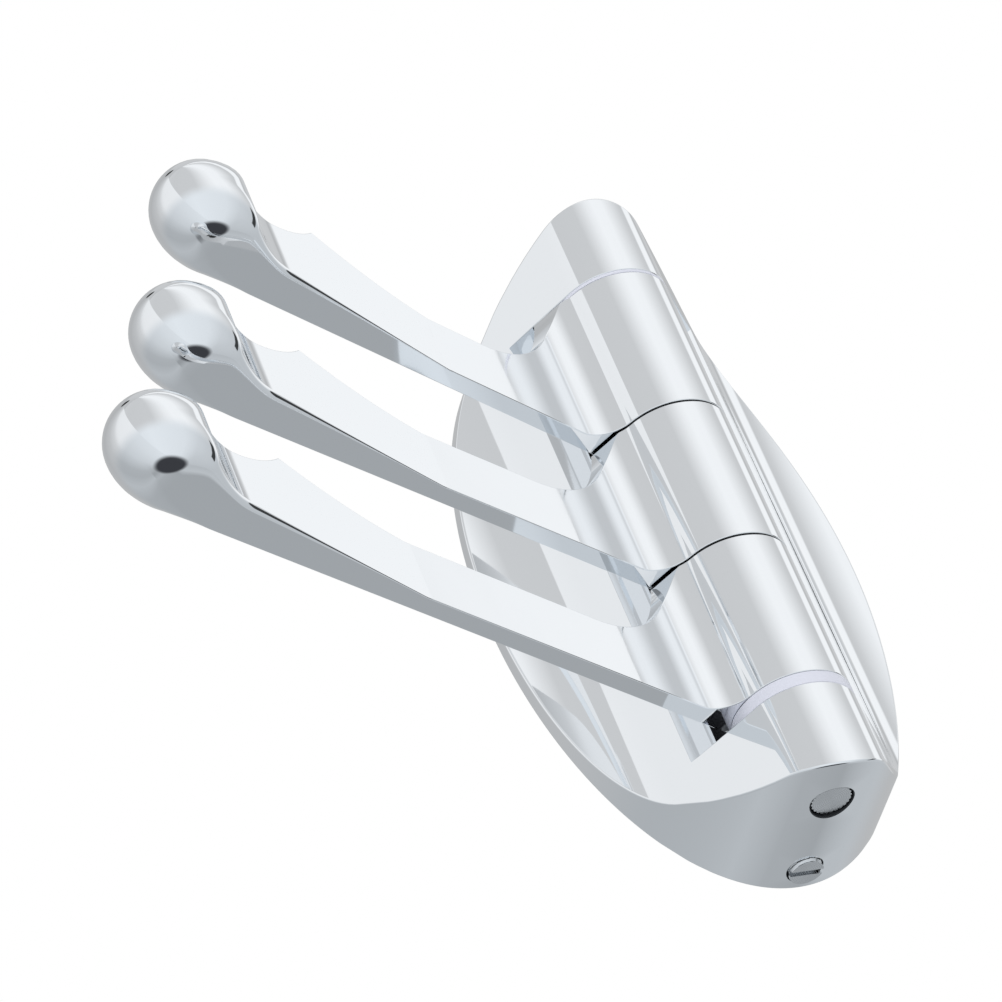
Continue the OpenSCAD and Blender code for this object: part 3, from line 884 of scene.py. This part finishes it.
    def side_normal(self, x, front):
        """Normal of the front or back wall as seen from above, for the part by the knuckle."""
        height, limit, sign = (self.front_y, self.touch_x, 1) if front else (self.back_y, self.back_x, -1)
        wall = stack(-sign * slope(height, x), sign, 0)
        round_part = stack(x, sign * arc(self.knuckle_r, x), 0)
        wall = np.where((x < limit)[..., None], unit(round_part), unit(wall))
        return np.where((x < self.web_x)[..., None], wall, stack(0, sign, 0))

    def top_normal(self, x):
        return np.where((x < self.web_x)[..., None], unit(stack(-slope(self.top_z, x), 0, 1)), UP)

    def corner(self, x, front, top):
        """Middle and radius of one of the four rounded edges at x, and the normals that it joins."""
        s = self.sizes
        y = self.front_y(x) if front else self.back_y(x)
        z = self.top_z(x) if top else self.bottom_z(x)
        half_w = (self.front_y(x) - self.back_y(x)) / 2
        half_h = (self.top_z(x) - self.bottom_z(x)) / 2
        full = np.minimum(half_w, half_h)
        done = self.reach + s.ball_r * FULLY_ROUND[front, top]
        edge = s.edge_round
        if front and not top:
            near = np.clip((x - self.reach + s.bend_back) / (s.bend_back - s.neck_back), 0, 1)
            edge = edge + (s.lower_round - edge) * near**2
        edge = np.minimum(edge, full)
        radius = edge + (full - edge) * self.rounding(x, done)
        wall = self.side_normal(x, front)
        lid = self.top_normal(x) if top else -UP * np.ones(x.shape + (1,))
        along = 1 + np.sum(wall * lid, axis=-1, keepdims=True)
        middle = stack(x, y, z) - radius[..., None] * (wall + lid) / along
        return middle, radius[..., None], wall, lid

    def edge(self, x, share, front, top):
        middle, radius, wall, lid = self.corner(x, front, top)
        return middle + radius * turn(wall, lid, share)

    def wall(self, x, share, front):
        """The front or back wall, straight from its lower to its upper edge."""
        share = share[..., None]
        return (1 - share) * self.edge(x, 0 * x, front, False) + share * self.edge(x, 0 * x, front, True)

    def split_y(self, x, front, bore_r):
        """Where the top and bottom faces are split in two: round the bore, then by the arm's middle."""
        sign = 1 if front else -1
        share = np.clip((x - bore_r) / (self.knuckle_r - bore_r), 0, 1)
        beyond = share * (self.front_y(x) + self.back_y(x)) / 2
        return np.where(np.abs(x) < bore_r, sign * arc(bore_r, x), beyond)

    def lid(self, x, share, front, top, bore_r):
        """Half of the top or bottom face, straight from its edge to the split."""
        start = self.edge(x, 1 + 0 * x, front, top)
        z = self.top_z(x) if top else self.bottom_z(x)
        end = stack(x, self.split_y(x, front, bore_r), z)
        share = share[..., None]
        return (1 - share) * start + share * end

    def place(self, patches):
        """Patches turned to the arm's heading and set on the hinge axis."""
        cos, sin = math.cos(self.heading), math.sin(self.heading)
        turned = np.array([[cos, sin, 0], [-sin, cos, 0], [0, 0, 1]])
        return [(points @ turned + HINGE, normals @ turned, finish) for points, normals, finish in patches]


def hook_patches(arm, bore_r):
    """All faces of a hook: round the section at each place along it go four rounded edges, two walls
    and a split top and bottom."""
    s, r = arm.sizes, arm.knuckle_r
    bore_turn = np.linspace(0, math.pi, BORE_STEPS + 1)
    # Places along the arm: each last number is how many stand along that stretch
    knuckle_u = [
        np.linspace(0, math.acos(bore_r / r), 14)[:-1],
        np.arccos(bore_r / r * np.cos(bore_turn)),
        np.linspace(math.acos(-bore_r / r), math.acos(-arm.touch_x / r), 18)[1:],
    ]
    root_start = math.acos((arm.root_x - arm.touch_x) / s.root_r)
    arm_x = [
        arm.root_x - s.root_r * np.cos(np.linspace(root_start, QUARTER_TURN, 18)),
        arm.crown_x + s.crown_r * np.sin(np.linspace(0, arm.web_turn, 6)),
        arm.web_x - s.web_r * np.sin(np.linspace(arm.web_turn, 0, 24)),
        [arm.reach - s.bend_back],
        arm.reach - np.linspace(s.rise_back, s.ridge_back, 20),
    ]
    arm_x = np.unique(np.round(np.concatenate(arm_x), SAME_PLACE))
    inside = (arm_x > arm.touch_x + END_CLEAR) & (arm_x < arm.ridge_x - END_CLEAR)
    neck_back = [np.linspace(s.ridge_back, s.neck_back, 13)[:-1], np.linspace(s.neck_back, 0, 40)]
    segments = (
        (lambda u: -r * np.cos(u), np.concatenate(knuckle_u)),
        (lambda u: u, np.concatenate([[arm.touch_x], arm_x[inside], [arm.ridge_x]])),
        (lambda u: u, arm.reach - np.concatenate(neck_back)),
        (lambda u: arm.reach + s.ball_r * np.sin(u), np.linspace(0, QUARTER_TURN, 22)),
    )
    share = np.linspace(0, 1, ROUND_STEPS + 1)
    two = np.array([0.0, 1.0])
    patches = []
    for to_x, u in segments:
        for front in (True, False):
            patches.append(surface(lambda a, b: arm.wall(to_x(a), b, front), u, two))
            for top in (True, False):
                patches.append(surface(lambda a, b: arm.edge(to_x(a), b, front, top), u, share))
                patches.append(surface(lambda a, b: arm.lid(to_x(a), b, front, top, bore_r), u, two))
    for side in (1, -1):
        low = stack(-bore_r * np.cos(bore_turn), side * bore_r * np.sin(bore_turn), arm.bottom)
        patches.append(strip(low, with_z(low, arm.knuckle_top), unit(-with_z(low, 0))))
    return arm.place(patches)


def pin_patches(sizes):
    """The hinge pin: a bar with rounded ends whose lower end is knurled with fine upright teeth."""
    out = circle(PIN_STEPS)
    angle = np.linspace(0, FULL_TURN, PIN_STEPS + 1)
    low, high, edge, depth = PIN_LOW.z, PIN_HIGH.z, sizes.pin_round, sizes.knurl_depth
    knurl_top = low + sizes.knurl_len

    def side(u, z):
        """The bar's radius, less a wave for the teeth that fades at their top, less the end's bevel."""
        wave = (1 - np.cos(KNURL_TEETH * u)) / 2 * np.clip((knurl_top - z) / (2 * depth), 0, 1)
        bevel = (1 - arc(1, np.clip(1 - (z - low) / edge, 0, 1))) * PIN_BEVEL
        radius = PIN_R - depth * wave - edge * bevel
        return stack(np.cos(u) * radius, np.sin(u) * radius - HINGE_OUT, z)

    bevel_z = low + edge * (1 - np.cos(np.linspace(0, QUARTER_TURN, 6)))
    tooth_z = knurl_top - depth * np.array([1, 0.5, 0])
    patches = [surface(side, angle, np.concatenate([bevel_z, tooth_z, [high - edge]]))]
    rim = side(angle, np.full_like(angle, low))
    patches.append(strip(rim, np.broadcast_to(HINGE + UP * low, rim.shape), -UP))
    inside = HINGE + out * (PIN_R - edge) + UP * (high - edge)
    patches.append(rounded(inside, edge, out, UP))
    patches.append(strip(with_z(inside, high), np.broadcast_to(HINGE + UP * high, out.shape), UP))
    return patches


def grub_patches(sizes):
    """The grub screw: a helical thread on a bar, a slot across its lower end and a blunt point above."""
    low, high = GRUB_LOW.z, GRUB_HIGH.z
    floor = low + sizes.slot_depth
    shank = high - sizes.point_len
    half = sizes.slot_w / 2
    corner = math.asin(half / GRUB_R)

    def thread(u, z):
        """The bar, less a zigzag that climbs with the angle, is shallow at the slot and ends at the
        point, and no wider than the point's cone."""
        phase = (z - low) / sizes.thread_pitch - u / FULL_TURN
        groove = 1 - np.abs(2 * (phase - np.floor(phase)) - 1)
        start = np.clip((z - low) / (0.5 * sizes.thread_pitch), 0, 1)
        end = np.clip((high - z) / sizes.point_len, 0, 1)
        cone = sizes.point_r + (GRUB_R - sizes.point_r) * end
        depth = sizes.thread_depth * end * (THREAD_START + (1 - THREAD_START) * start)
        radius = np.minimum(cone, GRUB_R - depth * groove)
        return stack(np.cos(u) * radius, np.sin(u) * radius - GRUB_OUT, z)

    def level(u, z):
        return thread(u, np.full_like(u, z))

    def slot_edge(u, z, y):
        """A level row on a wall of the slot, which starts and ends on the thread."""
        row = level(u, z)
        row[1:-1, 1] = y
        return row

    land_u = np.linspace(corner, math.pi - corner, 65)
    gap_u = np.linspace(-corner, corner, 9)
    step = sizes.thread_pitch / PITCH_STEPS
    slot_z = np.linspace(low, floor, max(2, int(sizes.slot_depth / step) + 1))
    shank_z = np.linspace(floor, shank, int((shank - floor) / step))
    body_z = np.concatenate([shank_z, np.linspace(shank, high, 10)[1:]])
    upper = slot_edge(land_u, floor, half - GRUB_OUT)
    lower = slot_edge(land_u + math.pi, floor, -half - GRUB_OUT)[::-1]
    patches = [strip(upper, lower, -UP)]
    for turned, sign, end in ((0, 1, 0), (math.pi, -1, -1)):
        u = land_u + turned
        patches.append(surface(thread, u, slot_z))
        patches.append(surface(thread, u, body_z))
        patches.append(surface(thread, gap_u + turned, body_z))
        wall = [slot_edge(u, z, sign * half - GRUB_OUT) for z in slot_z]
        patches.append(strip(level(u, low), wall[0], -UP))
        patches += [strip(first, last, (0, -sign, 0)) for first, last in zip(wall, wall[1:])]
        rim = level(gap_u + turned, floor)
        patches.append(strip(rim, np.where((rim[:, 1] > -GRUB_OUT)[:, None], upper[end], lower[end]), -UP))
    around = np.concatenate([land_u, gap_u[1:-1] + math.pi, land_u + math.pi, gap_u[1:] + FULL_TURN])
    tip = level(around, high)
    patches.append(strip(tip, np.broadcast_to([0, -GRUB_OUT, high], tip.shape), UP))
    return patches


def add_node(tree, kind, settings=None):
    """Adds a node. Settings go by name or number: a node's output is linked, another value is set."""
    node = tree.nodes.new(kind)
    for key, value in (settings or {}).items():
        if isinstance(value, bpy.types.NodeSocket):
            tree.links.new(value, node.inputs[key])
        elif isinstance(key, int) or key in node.inputs:
            node.inputs[key].default_value = value
        else:
            setattr(node, key, value)
    return node


def remap(tree, value, start, end, low=0.0, high=1.0, way="SMOOTHSTEP"):
    """A value that goes from low to high while another goes from start to end."""
    ends = {"From Min": start, "From Max": end, "To Min": low, "To Max": high}
    settings = {"interpolation_type": way, "Value": value, **ends}
    return add_node(tree, "ShaderNodeMapRange", settings).outputs["Result"]


def vary(tree, place, size, low, high, detail=2.0):
    """A value that wanders between low and high, with patches of about a given size."""
    settings = {"Scale": 1 / size, "Detail": detail, "Vector": place}
    noise = add_node(tree, "ShaderNodeTexNoise", settings)
    return remap(tree, noise.outputs["Fac"], 0.3, 0.7, low, high, "LINEAR")


def new_finish(name, settings, mottle):
    """A material with one shader whose roughness is mottled: size of the patches, lowest, highest."""
    finish = bpy.data.materials.new(name)
    finish.use_nodes = True
    tree = finish.node_tree
    tree.nodes.clear()
    place = add_node(tree, "ShaderNodeTexCoord").outputs["Object"]
    settings = {**settings, "Roughness": vary(tree, place, *mottle)}
    shader = add_node(tree, "ShaderNodeBsdfPrincipled", settings)
    add_node(tree, "ShaderNodeOutputMaterial", {"Surface": shader.outputs["BSDF"]})
    return finish, tree, shader, place


def relief(tree, shader, height, depth):
    """Bump on a shader from a height of 0 to 1, of a given depth."""
    bump = add_node(tree, "ShaderNodeBump", {"Strength": 1.0, "Distance": depth, "Height": height})
    tree.links.new(bump.outputs["Normal"], shader.inputs["Normal"])


def grained_finish(name, settings, mottle, size, detail, depth):
    """A finish with a fine relief: size of its grain, how much smaller grain there is, and depth."""
    finish, tree, shader, place = new_finish(name, settings, mottle)
    relief(tree, shader, vary(tree, place, size, 0, 1, detail), depth)
    return finish


def metal(tint):
    return {"Base Color": tint, "Metallic": 1.0}


def steel_finish(tint, name, out):
    """Turned steel: fine rings about the screw's own axis, which stands a distance out of the wall."""
    finish, tree, shader, place = new_finish(name, metal(tint), (0.8 * MM, 0.15, 0.32))
    centre = add_node(tree, "ShaderNodeMapping", {"Location": (0, out, 0), "Vector": place})
    settings = {"wave_type": "RINGS", "rings_direction": "Z", "Vector": centre.outputs["Vector"]}
    settings.update({"Scale": WAVE_SCALE / RING_WIDTH, "Distortion": 0.4})
    rings = add_node(tree, "ShaderNodeTexWave", settings)
    relief(tree, shader, rings.outputs["Fac"], 0.01 * MM)
    return finish


FINISHES = {}


def make_finishes(colours):
    """All finishes by name."""
    # A clear mirror, with the faint waviness that buffing leaves and a breath of haze here and there
    FINISHES["chrome"] = grained_finish(
        "chrome plating, polished", metal(colours.chrome), (9 * MM, 0.025, 0.06), 7 * MM, 1.0, 0.004 * MM
    )
    # Zinc as it left the die, dull and a little grainy, with its colour darkened as painted shade so that
    # the hollow inside and its holes stay dark
    FINISHES["casting"] = grained_finish(
        "zinc casting, unpolished, darkened as painted shade", metal(colours.casting), (2 * MM, 0.5, 0.7), 0.6 * MM, 4.0, 0.05 * MM
    )
    # Satin sheet steel with a mottled spangle, its colour darkened as painted shade where it shows through
    # the window
    FINISHES["zinc"] = grained_finish(
        "zinc plating, darkened as painted shade", metal(colours.zinc), (3 * MM, 0.28, 0.42), 0.8 * MM, 3.0, 0.01 * MM
    )
    # Fine rings that the lathe left
    FINISHES["pin"] = steel_finish(colours.steel, "turned steel, pin", HINGE_OUT)
    FINISHES["grub"] = steel_finish(colours.steel, "turned steel, grub screw", GRUB_OUT)
    # Moulded and punched plastic: a soft sheen and a faint cloudiness
    plastic_grain = (0.4 * MM, 2.0, 0.004 * MM)
    for key, name, tint, low, high, ior in (
        ("pale_nylon", "natural nylon, moulded", colours.nylon, 0.3, 0.42, 1.53),
        ("dark_acetal", "acetal, punched", colours.acetal, 0.35, 0.5, 1.48),
    ):
        settings = {"Base Color": tint, "IOR": ior}
        FINISHES[key] = grained_finish(name, settings, (1.5 * MM, low, high), *plastic_grain)


class COATHOOK_OT_finishes(bpy.types.Operator):
    """Make the finishes of all pieces"""

    bl_idname = "coathook.finishes"
    bl_label = "Finishes"

    def execute(self, context):
        make_finishes(context.scene.coathook_colours)
        return {"FINISHED"}


class COATHOOK_OT_body(bpy.types.Operator):
    """Make the cast body"""

    bl_idname = "coathook.body"
    bl_label = "Body"

    def execute(self, context):
        patches = body_patches(context.scene.coathook_body)
        finishes = (FINISHES["chrome"], FINISHES["casting"])
        make_piece("cast_body", patches, finishes, "root", "body")
        return {"FINISHED"}


class COATHOOK_OT_hooks(bpy.types.Operator):
    """Make the three arms with their knuckles"""

    bl_idname = "coathook.hooks"
    bl_label = "Hooks"

    def execute(self, context):
        clear = context.scene.coathook_body.hole_clear
        for node, body in ARMS.items():
            arm = ArmShape(context.scene.coathook_arm, node)
            patches = hook_patches(arm, PIN_R + clear)
            make_piece(f"chrome_{node}", patches, (FINISHES["chrome"],), body, node)
        return {"FINISHED"}


class COATHOOK_OT_rings(bpy.types.Operator):
    """Make the washers and spacers between the knuckles"""

    bl_idname = "coathook.rings"
    bl_label = "Rings"

    def execute(self, context):
        small = context.scene.coathook_small
        inner = PIN_R + context.scene.coathook_body.hole_clear
        for node, slot in RINGS.items():
            low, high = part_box(node)
            edge = min(small.ring_round, (high.z - low.z) / 3)
            patches = ring_patches(inner, (high.x - low.x) / 2, low.z, high.z, edge)
            make_piece(f"moulded_{node}", patches, (FINISHES[slot],), "root", node)
        return {"FINISHED"}


class COATHOOK_OT_pin(bpy.types.Operator):
    """Make the hinge pin and the grub screw"""

    bl_idname = "coathook.pin"
    bl_label = "Pin and grub screw"

    def execute(self, context):
        small = context.scene.coathook_small
        patches = pin_patches(small)
        make_piece("knurled_pin", patches, (FINISHES["pin"],), "root", "hinge_pin")
        patches = grub_patches(small)
        make_piece("slotted_grub_screw", patches, (FINISHES["grub"],), "root", "grub_screw")
        return {"FINISHED"}


class COATHOOK_OT_bracket(bpy.types.Operator):
    """Finish the steel wall bracket, whose own solid stays"""

    bl_idname = "coathook.bracket"
    bl_label = "Wall bracket"

    def execute(self, context):
        node = frame["nodes"]["wall_bracket"]
        node.data.materials.clear()
        node.data.materials.append(FINISHES["zinc"])
        return {"FINISHED"}


# Where the photograph was taken from: angles about the hook, turn in the picture, distance, how far
# the picture's middle lies beside the origin, and the lens
CAMERA_AZIMUTH = math.radians(-27.43)
CAMERA_ELEVATION = math.radians(-35.58)
CAMERA_ROLL = math.radians(-23.27)
CAMERA_DISTANCE = 888.9 * MM
CAMERA_RIGHT = -23.19 * MM
CAMERA_UP = 13.44 * MM
CAMERA_LENS = 231.43
SENSOR = 36.0
FLOOR_Z = -0.9
FLOOR_SIZE = 12.0


def add_camera():
    """The camera: it looks back along the line given by azimuth and elevation, rolled about it."""
    cos_e = math.cos(CAMERA_ELEVATION)
    back = Vector(
        (math.sin(CAMERA_AZIMUTH) * cos_e, -math.cos(CAMERA_AZIMUTH) * cos_e, math.sin(CAMERA_ELEVATION))
    )
    level = (-back).cross(Vector((0, 0, 1))).normalized()
    upright = level.cross(-back)
    right = level * math.cos(CAMERA_ROLL) + upright * math.sin(CAMERA_ROLL)
    up = upright * math.cos(CAMERA_ROLL) - level * math.sin(CAMERA_ROLL)
    place = back * CAMERA_DISTANCE + right * CAMERA_RIGHT + up * CAMERA_UP
    lens = bpy.data.cameras.new("camera")
    lens.sensor_width = SENSOR
    lens.lens = CAMERA_LENS
    lens.clip_start = 0.01
    camera = bpy.data.objects.new("camera", lens)
    camera.matrix_world = Matrix.Translation(place) @ Matrix((right, up, back)).transposed().to_4x4()
    bpy.context.scene.collection.objects.link(camera)
    bpy.context.scene.camera = camera


def add_floor(colours):
    """A plain pale floor well below the hook."""
    half = FLOOR_SIZE / 2
    mesh = bpy.data.meshes.new("floor")
    corners = [(x * half, y * half, FLOOR_Z) for x, y in ((-1, -1), (1, -1), (1, 1), (-1, 1))]
    mesh.from_pydata(corners, [], [(0, 1, 2, 3)])
    # Matt paint, with large soft patches that are a little smoother or rougher
    paint = new_finish("painted studio floor", {"Base Color": colours.floor}, (0.4, 0.6, 0.8))[0]
    mesh.materials.append(paint)
    floor = bpy.data.objects.new("floor", mesh)
    bpy.context.scene.collection.objects.link(floor)
    floor.visible_glossy = False


# Brightness of the studio as shiny metal sees it, against the heading in degrees from -X through -Y
# (-90), +X (0) and +Y (90). A plane through the hook parts the front of the studio from its back.
FRONT_WALL = (
    (-180, 0.66), (-150, 0.63), (-104, 0.64), (-78, 0.90), (-66, 0.97), (-46, 0.96), (-10, 0.66),
    (-1, 0.62), (3, 0.97), (18, 0.97), (22, 0.62), (26, 0.48), (30, 0.60), (60, 0.62), (180, 0.55),
)
BACK_WALL = (
    (-180, 0.87), (-140, 0.90), (-60, 0.90), (40, 0.50), (90, 0.50), (116, 0.48), (146, 0.56),
    (164, 0.68), (174, 0.84), (180, 0.87),
)
LOWER_HALF = (
    (-180, 0.70), (-150, 0.80), (-118, 0.86), (-60, 0.80), (-20, 0.62), (20, 0.55), (46, 0.60),
    (62, 0.42), (90, 0.46), (114, 0.56), (134, 0.48), (150, 0.50), (165, 0.60), (180, 0.70),
)
# Heights over which the lower half gives way to the walls, and to the grey straight below
MIDDLE_HEIGHTS = (-0.15, 0.35)
BELOW_HEIGHTS = (-0.88, -0.95)
BELOW = (0.05, 0.05, 0.055, 1)
# What the lower half of the back part shows against that of the front
BACK_SHADE = 0.94
# Tint of the lower half and of the walls: daylight is a little cool
COOL_BELOW = (0.95, 1.0, 1.045, 1)
COOL_ABOVE = (0.985, 1.0, 1.015, 1)
# Outward direction of the back part from that plane, and half the sine over which the parts blend
BACK_DIRECTION = (-0.616, 0.725, -0.254)
SEAM_BLEND = 0.008
# A dark fitting high over the hook: its direction, the cosines where it begins and is full, and its
# brightness
FITTING_DIRECTION = (-0.11, 0.24, 0.96)
FITTING_COSINES = (0.9962, 0.9984)
FITTING_SHADE = 0.05
# A dark stand at the right: middle and half sizes, in heading (radians) and height, the shares of
# these over which its edges fade, and its brightness
STAND_MIDDLE = (math.radians(-5), -0.13)
STAND_HALF = (math.radians(5), 0.3)
STAND_EDGES = ((0.9, 1.3), (0.9, 1.1))
STAND_SHADE = 0.08


def calculate(tree, operation, *values):
    """One sum on values, each an output of a node or a number."""
    settings = {"operation": operation, **dict(enumerate(values))}
    return add_node(tree, "ShaderNodeMath", settings).outputs[0]


def along(tree, place, direction):
    """How far a direction of view points along another, from -1 to 1."""
    settings = {"operation": "DOT_PRODUCT", 0: place, 1: Vector(direction).normalized()}
    return add_node(tree, "ShaderNodeVectorMath", settings).outputs["Value"]


def ring_of(tree, share, stops):
    """A ring of brightness round the hook."""
    ramp = add_node(tree, "ShaderNodeValToRGB", {"Fac": share})
    elements = ramp.color_ramp.elements
    while len(elements) > 1:
        elements.remove(elements[-1])
    for i, (heading, value) in enumerate(stops):
        at = (heading + 180) / 360
        element = elements[0] if i == 0 else elements.new(at)
        element.position = at
        element.color = (value, value, value, 1)
    return ramp.outputs["Color"]


def blend(tree, share, first, second):
    """Two colours, or outputs of nodes, mixed by a share."""
    settings = {"data_type": "RGBA", 0: share, 6: first, 7: second}
    return add_node(tree, "ShaderNodeMix", settings).outputs[2]


def add_world():
    """A white studio: the camera sees plain white, and shiny metal sees the walls of the studio, soft
    grey and white, its darker lower half, a stand and a fitting."""
    world = bpy.data.worlds.new("studio")
    bpy.context.scene.world = world
    world.use_nodes = True
    tree = world.node_tree
    tree.nodes.clear()
    place = add_node(tree, "ShaderNodeTexCoord").outputs["Generated"]
    axes = add_node(tree, "ShaderNodeSeparateXYZ", {"Vector": place}).outputs
    heading = calculate(tree, "ARCTAN2", axes["Y"], axes["X"])
    height = axes["Z"]
    share = calculate(tree, "MULTIPLY_ADD", heading, 1 / FULL_TURN, 0.5)
    front, back, low = (ring_of(tree, share, stops) for stops in (FRONT_WALL, BACK_WALL, LOWER_HALF))
    behind = remap(tree, along(tree, place, BACK_DIRECTION), -SEAM_BLEND, SEAM_BLEND)
    lower = blend(tree, remap(tree, height, *BELOW_HEIGHTS), low, BELOW)
    lower = blend(tree, behind, lower, blend(tree, 1 - BACK_SHADE, lower, (0, 0, 0, 1)))
    raised = remap(tree, height, *MIDDLE_HEIGHTS)
    walls = blend(tree, raised, lower, blend(tree, behind, front, back))
    fitting = remap(tree, along(tree, place, FITTING_DIRECTION), *FITTING_COSINES, 1.0, FITTING_SHADE)
    past = []
    for value, middle, half, edges in zip((heading, height), STAND_MIDDLE, STAND_HALF, STAND_EDGES):
        beside = calculate(tree, "ABSOLUTE", calculate(tree, "SUBTRACT", value, middle))
        past.append(remap(tree, beside, edges[0] * half, edges[1] * half))
    clear = calculate(tree, "MAXIMUM", *past)
    stand = calculate(tree, "MULTIPLY_ADD", clear, 1 - STAND_SHADE, STAND_SHADE)
    tint = blend(tree, raised, COOL_BELOW, COOL_ABOVE)
    tinted = add_node(tree, "ShaderNodeVectorMath", {"operation": "MULTIPLY", 0: walls, 1: tint}).outputs[0]
    shade = calculate(tree, "MULTIPLY", fitting, stand)
    shaded = add_node(tree, "ShaderNodeVectorMath", {"operation": "SCALE", 0: tinted, "Scale": shade})
    studio = add_node(tree, "ShaderNodeBackground", {"Strength": 1.0, "Color": shaded.outputs[0]})
    seen = add_node(tree, "ShaderNodeBackground", {"Strength": 1.0, "Color": (1, 1, 1, 1)})
    straight = add_node(tree, "ShaderNodeLightPath").outputs["Is Camera Ray"]
    parts = {0: straight, 1: studio.outputs[0], 2: seen.outputs[0]}
    shader = add_node(tree, "ShaderNodeMixShader", parts)
    add_node(tree, "ShaderNodeOutputWorld", {"Surface": shader.outputs[0]})


def add_lamp(name, place, size, power):
    """A soft square lamp that looks at the hook and doesn't show in shiny metal."""
    lamp = bpy.data.lights.new(name, "AREA")
    lamp.size = size
    lamp.energy = power
    fixture = bpy.data.objects.new(name, lamp)
    aim = Vector(place).to_track_quat("Z", "Y").to_matrix().to_4x4()
    fixture.matrix_world = Matrix.Translation(place) @ aim
    fixture.visible_glossy = False
    bpy.context.scene.collection.objects.link(fixture)


class COATHOOK_OT_stage(bpy.types.Operator):
    """Make the camera, floor, studio light and background"""

    bl_idname = "coathook.stage"
    bl_label = "Stage"

    def execute(self, context):
        scene = context.scene
        scene.view_settings.view_transform = "Standard"
        add_camera()
        add_floor(scene.coathook_colours)
        add_world()
        add_lamp("soft lamp", (-0.6, -1.2, -0.5), 1.0, 6.0)
        return {"FINISHED"}


OPERATORS = (
    COATHOOK_OT_finishes,
    COATHOOK_OT_body,
    COATHOOK_OT_hooks,
    COATHOOK_OT_rings,
    COATHOOK_OT_pin,
    COATHOOK_OT_bracket,
    COATHOOK_OT_stage,
)
GROUPS = {
    "coathook_body": CoatHookBody,
    "coathook_arm": CoatHookArm,
    "coathook_small": CoatHookSmall,
    "coathook_colours": CoatHookColours,
}


class COATHOOK_PT_panel(bpy.types.Panel):
    """Lists the steps that make the coat hook"""

    bl_idname = "COATHOOK_PT_panel"
    bl_label = "Coat Hook"
    bl_space_type = "VIEW_3D"
    bl_region_type = "UI"
    bl_category = "Coat Hook"

    def draw(self, context):
        for operator in OPERATORS:
            self.layout.operator(operator.bl_idname)


def register():
    for item in (*GROUPS.values(), *OPERATORS, COATHOOK_PT_panel):
        bpy.utils.register_class(item)
    for name, group in GROUPS.items():
        setattr(bpy.types.Scene, name, PointerProperty(type=group))


def unregister():
    for name in GROUPS:
        delattr(bpy.types.Scene, name)
    for item in (COATHOOK_PT_panel, *OPERATORS[::-1], *list(GROUPS.values())[::-1]):
        bpy.utils.unregister_class(item)


def main():
    register()
    for operator in OPERATORS:
        getattr(bpy.ops.coathook, operator.bl_idname.split(".")[1])()


if __name__ == "__main__":
    main()
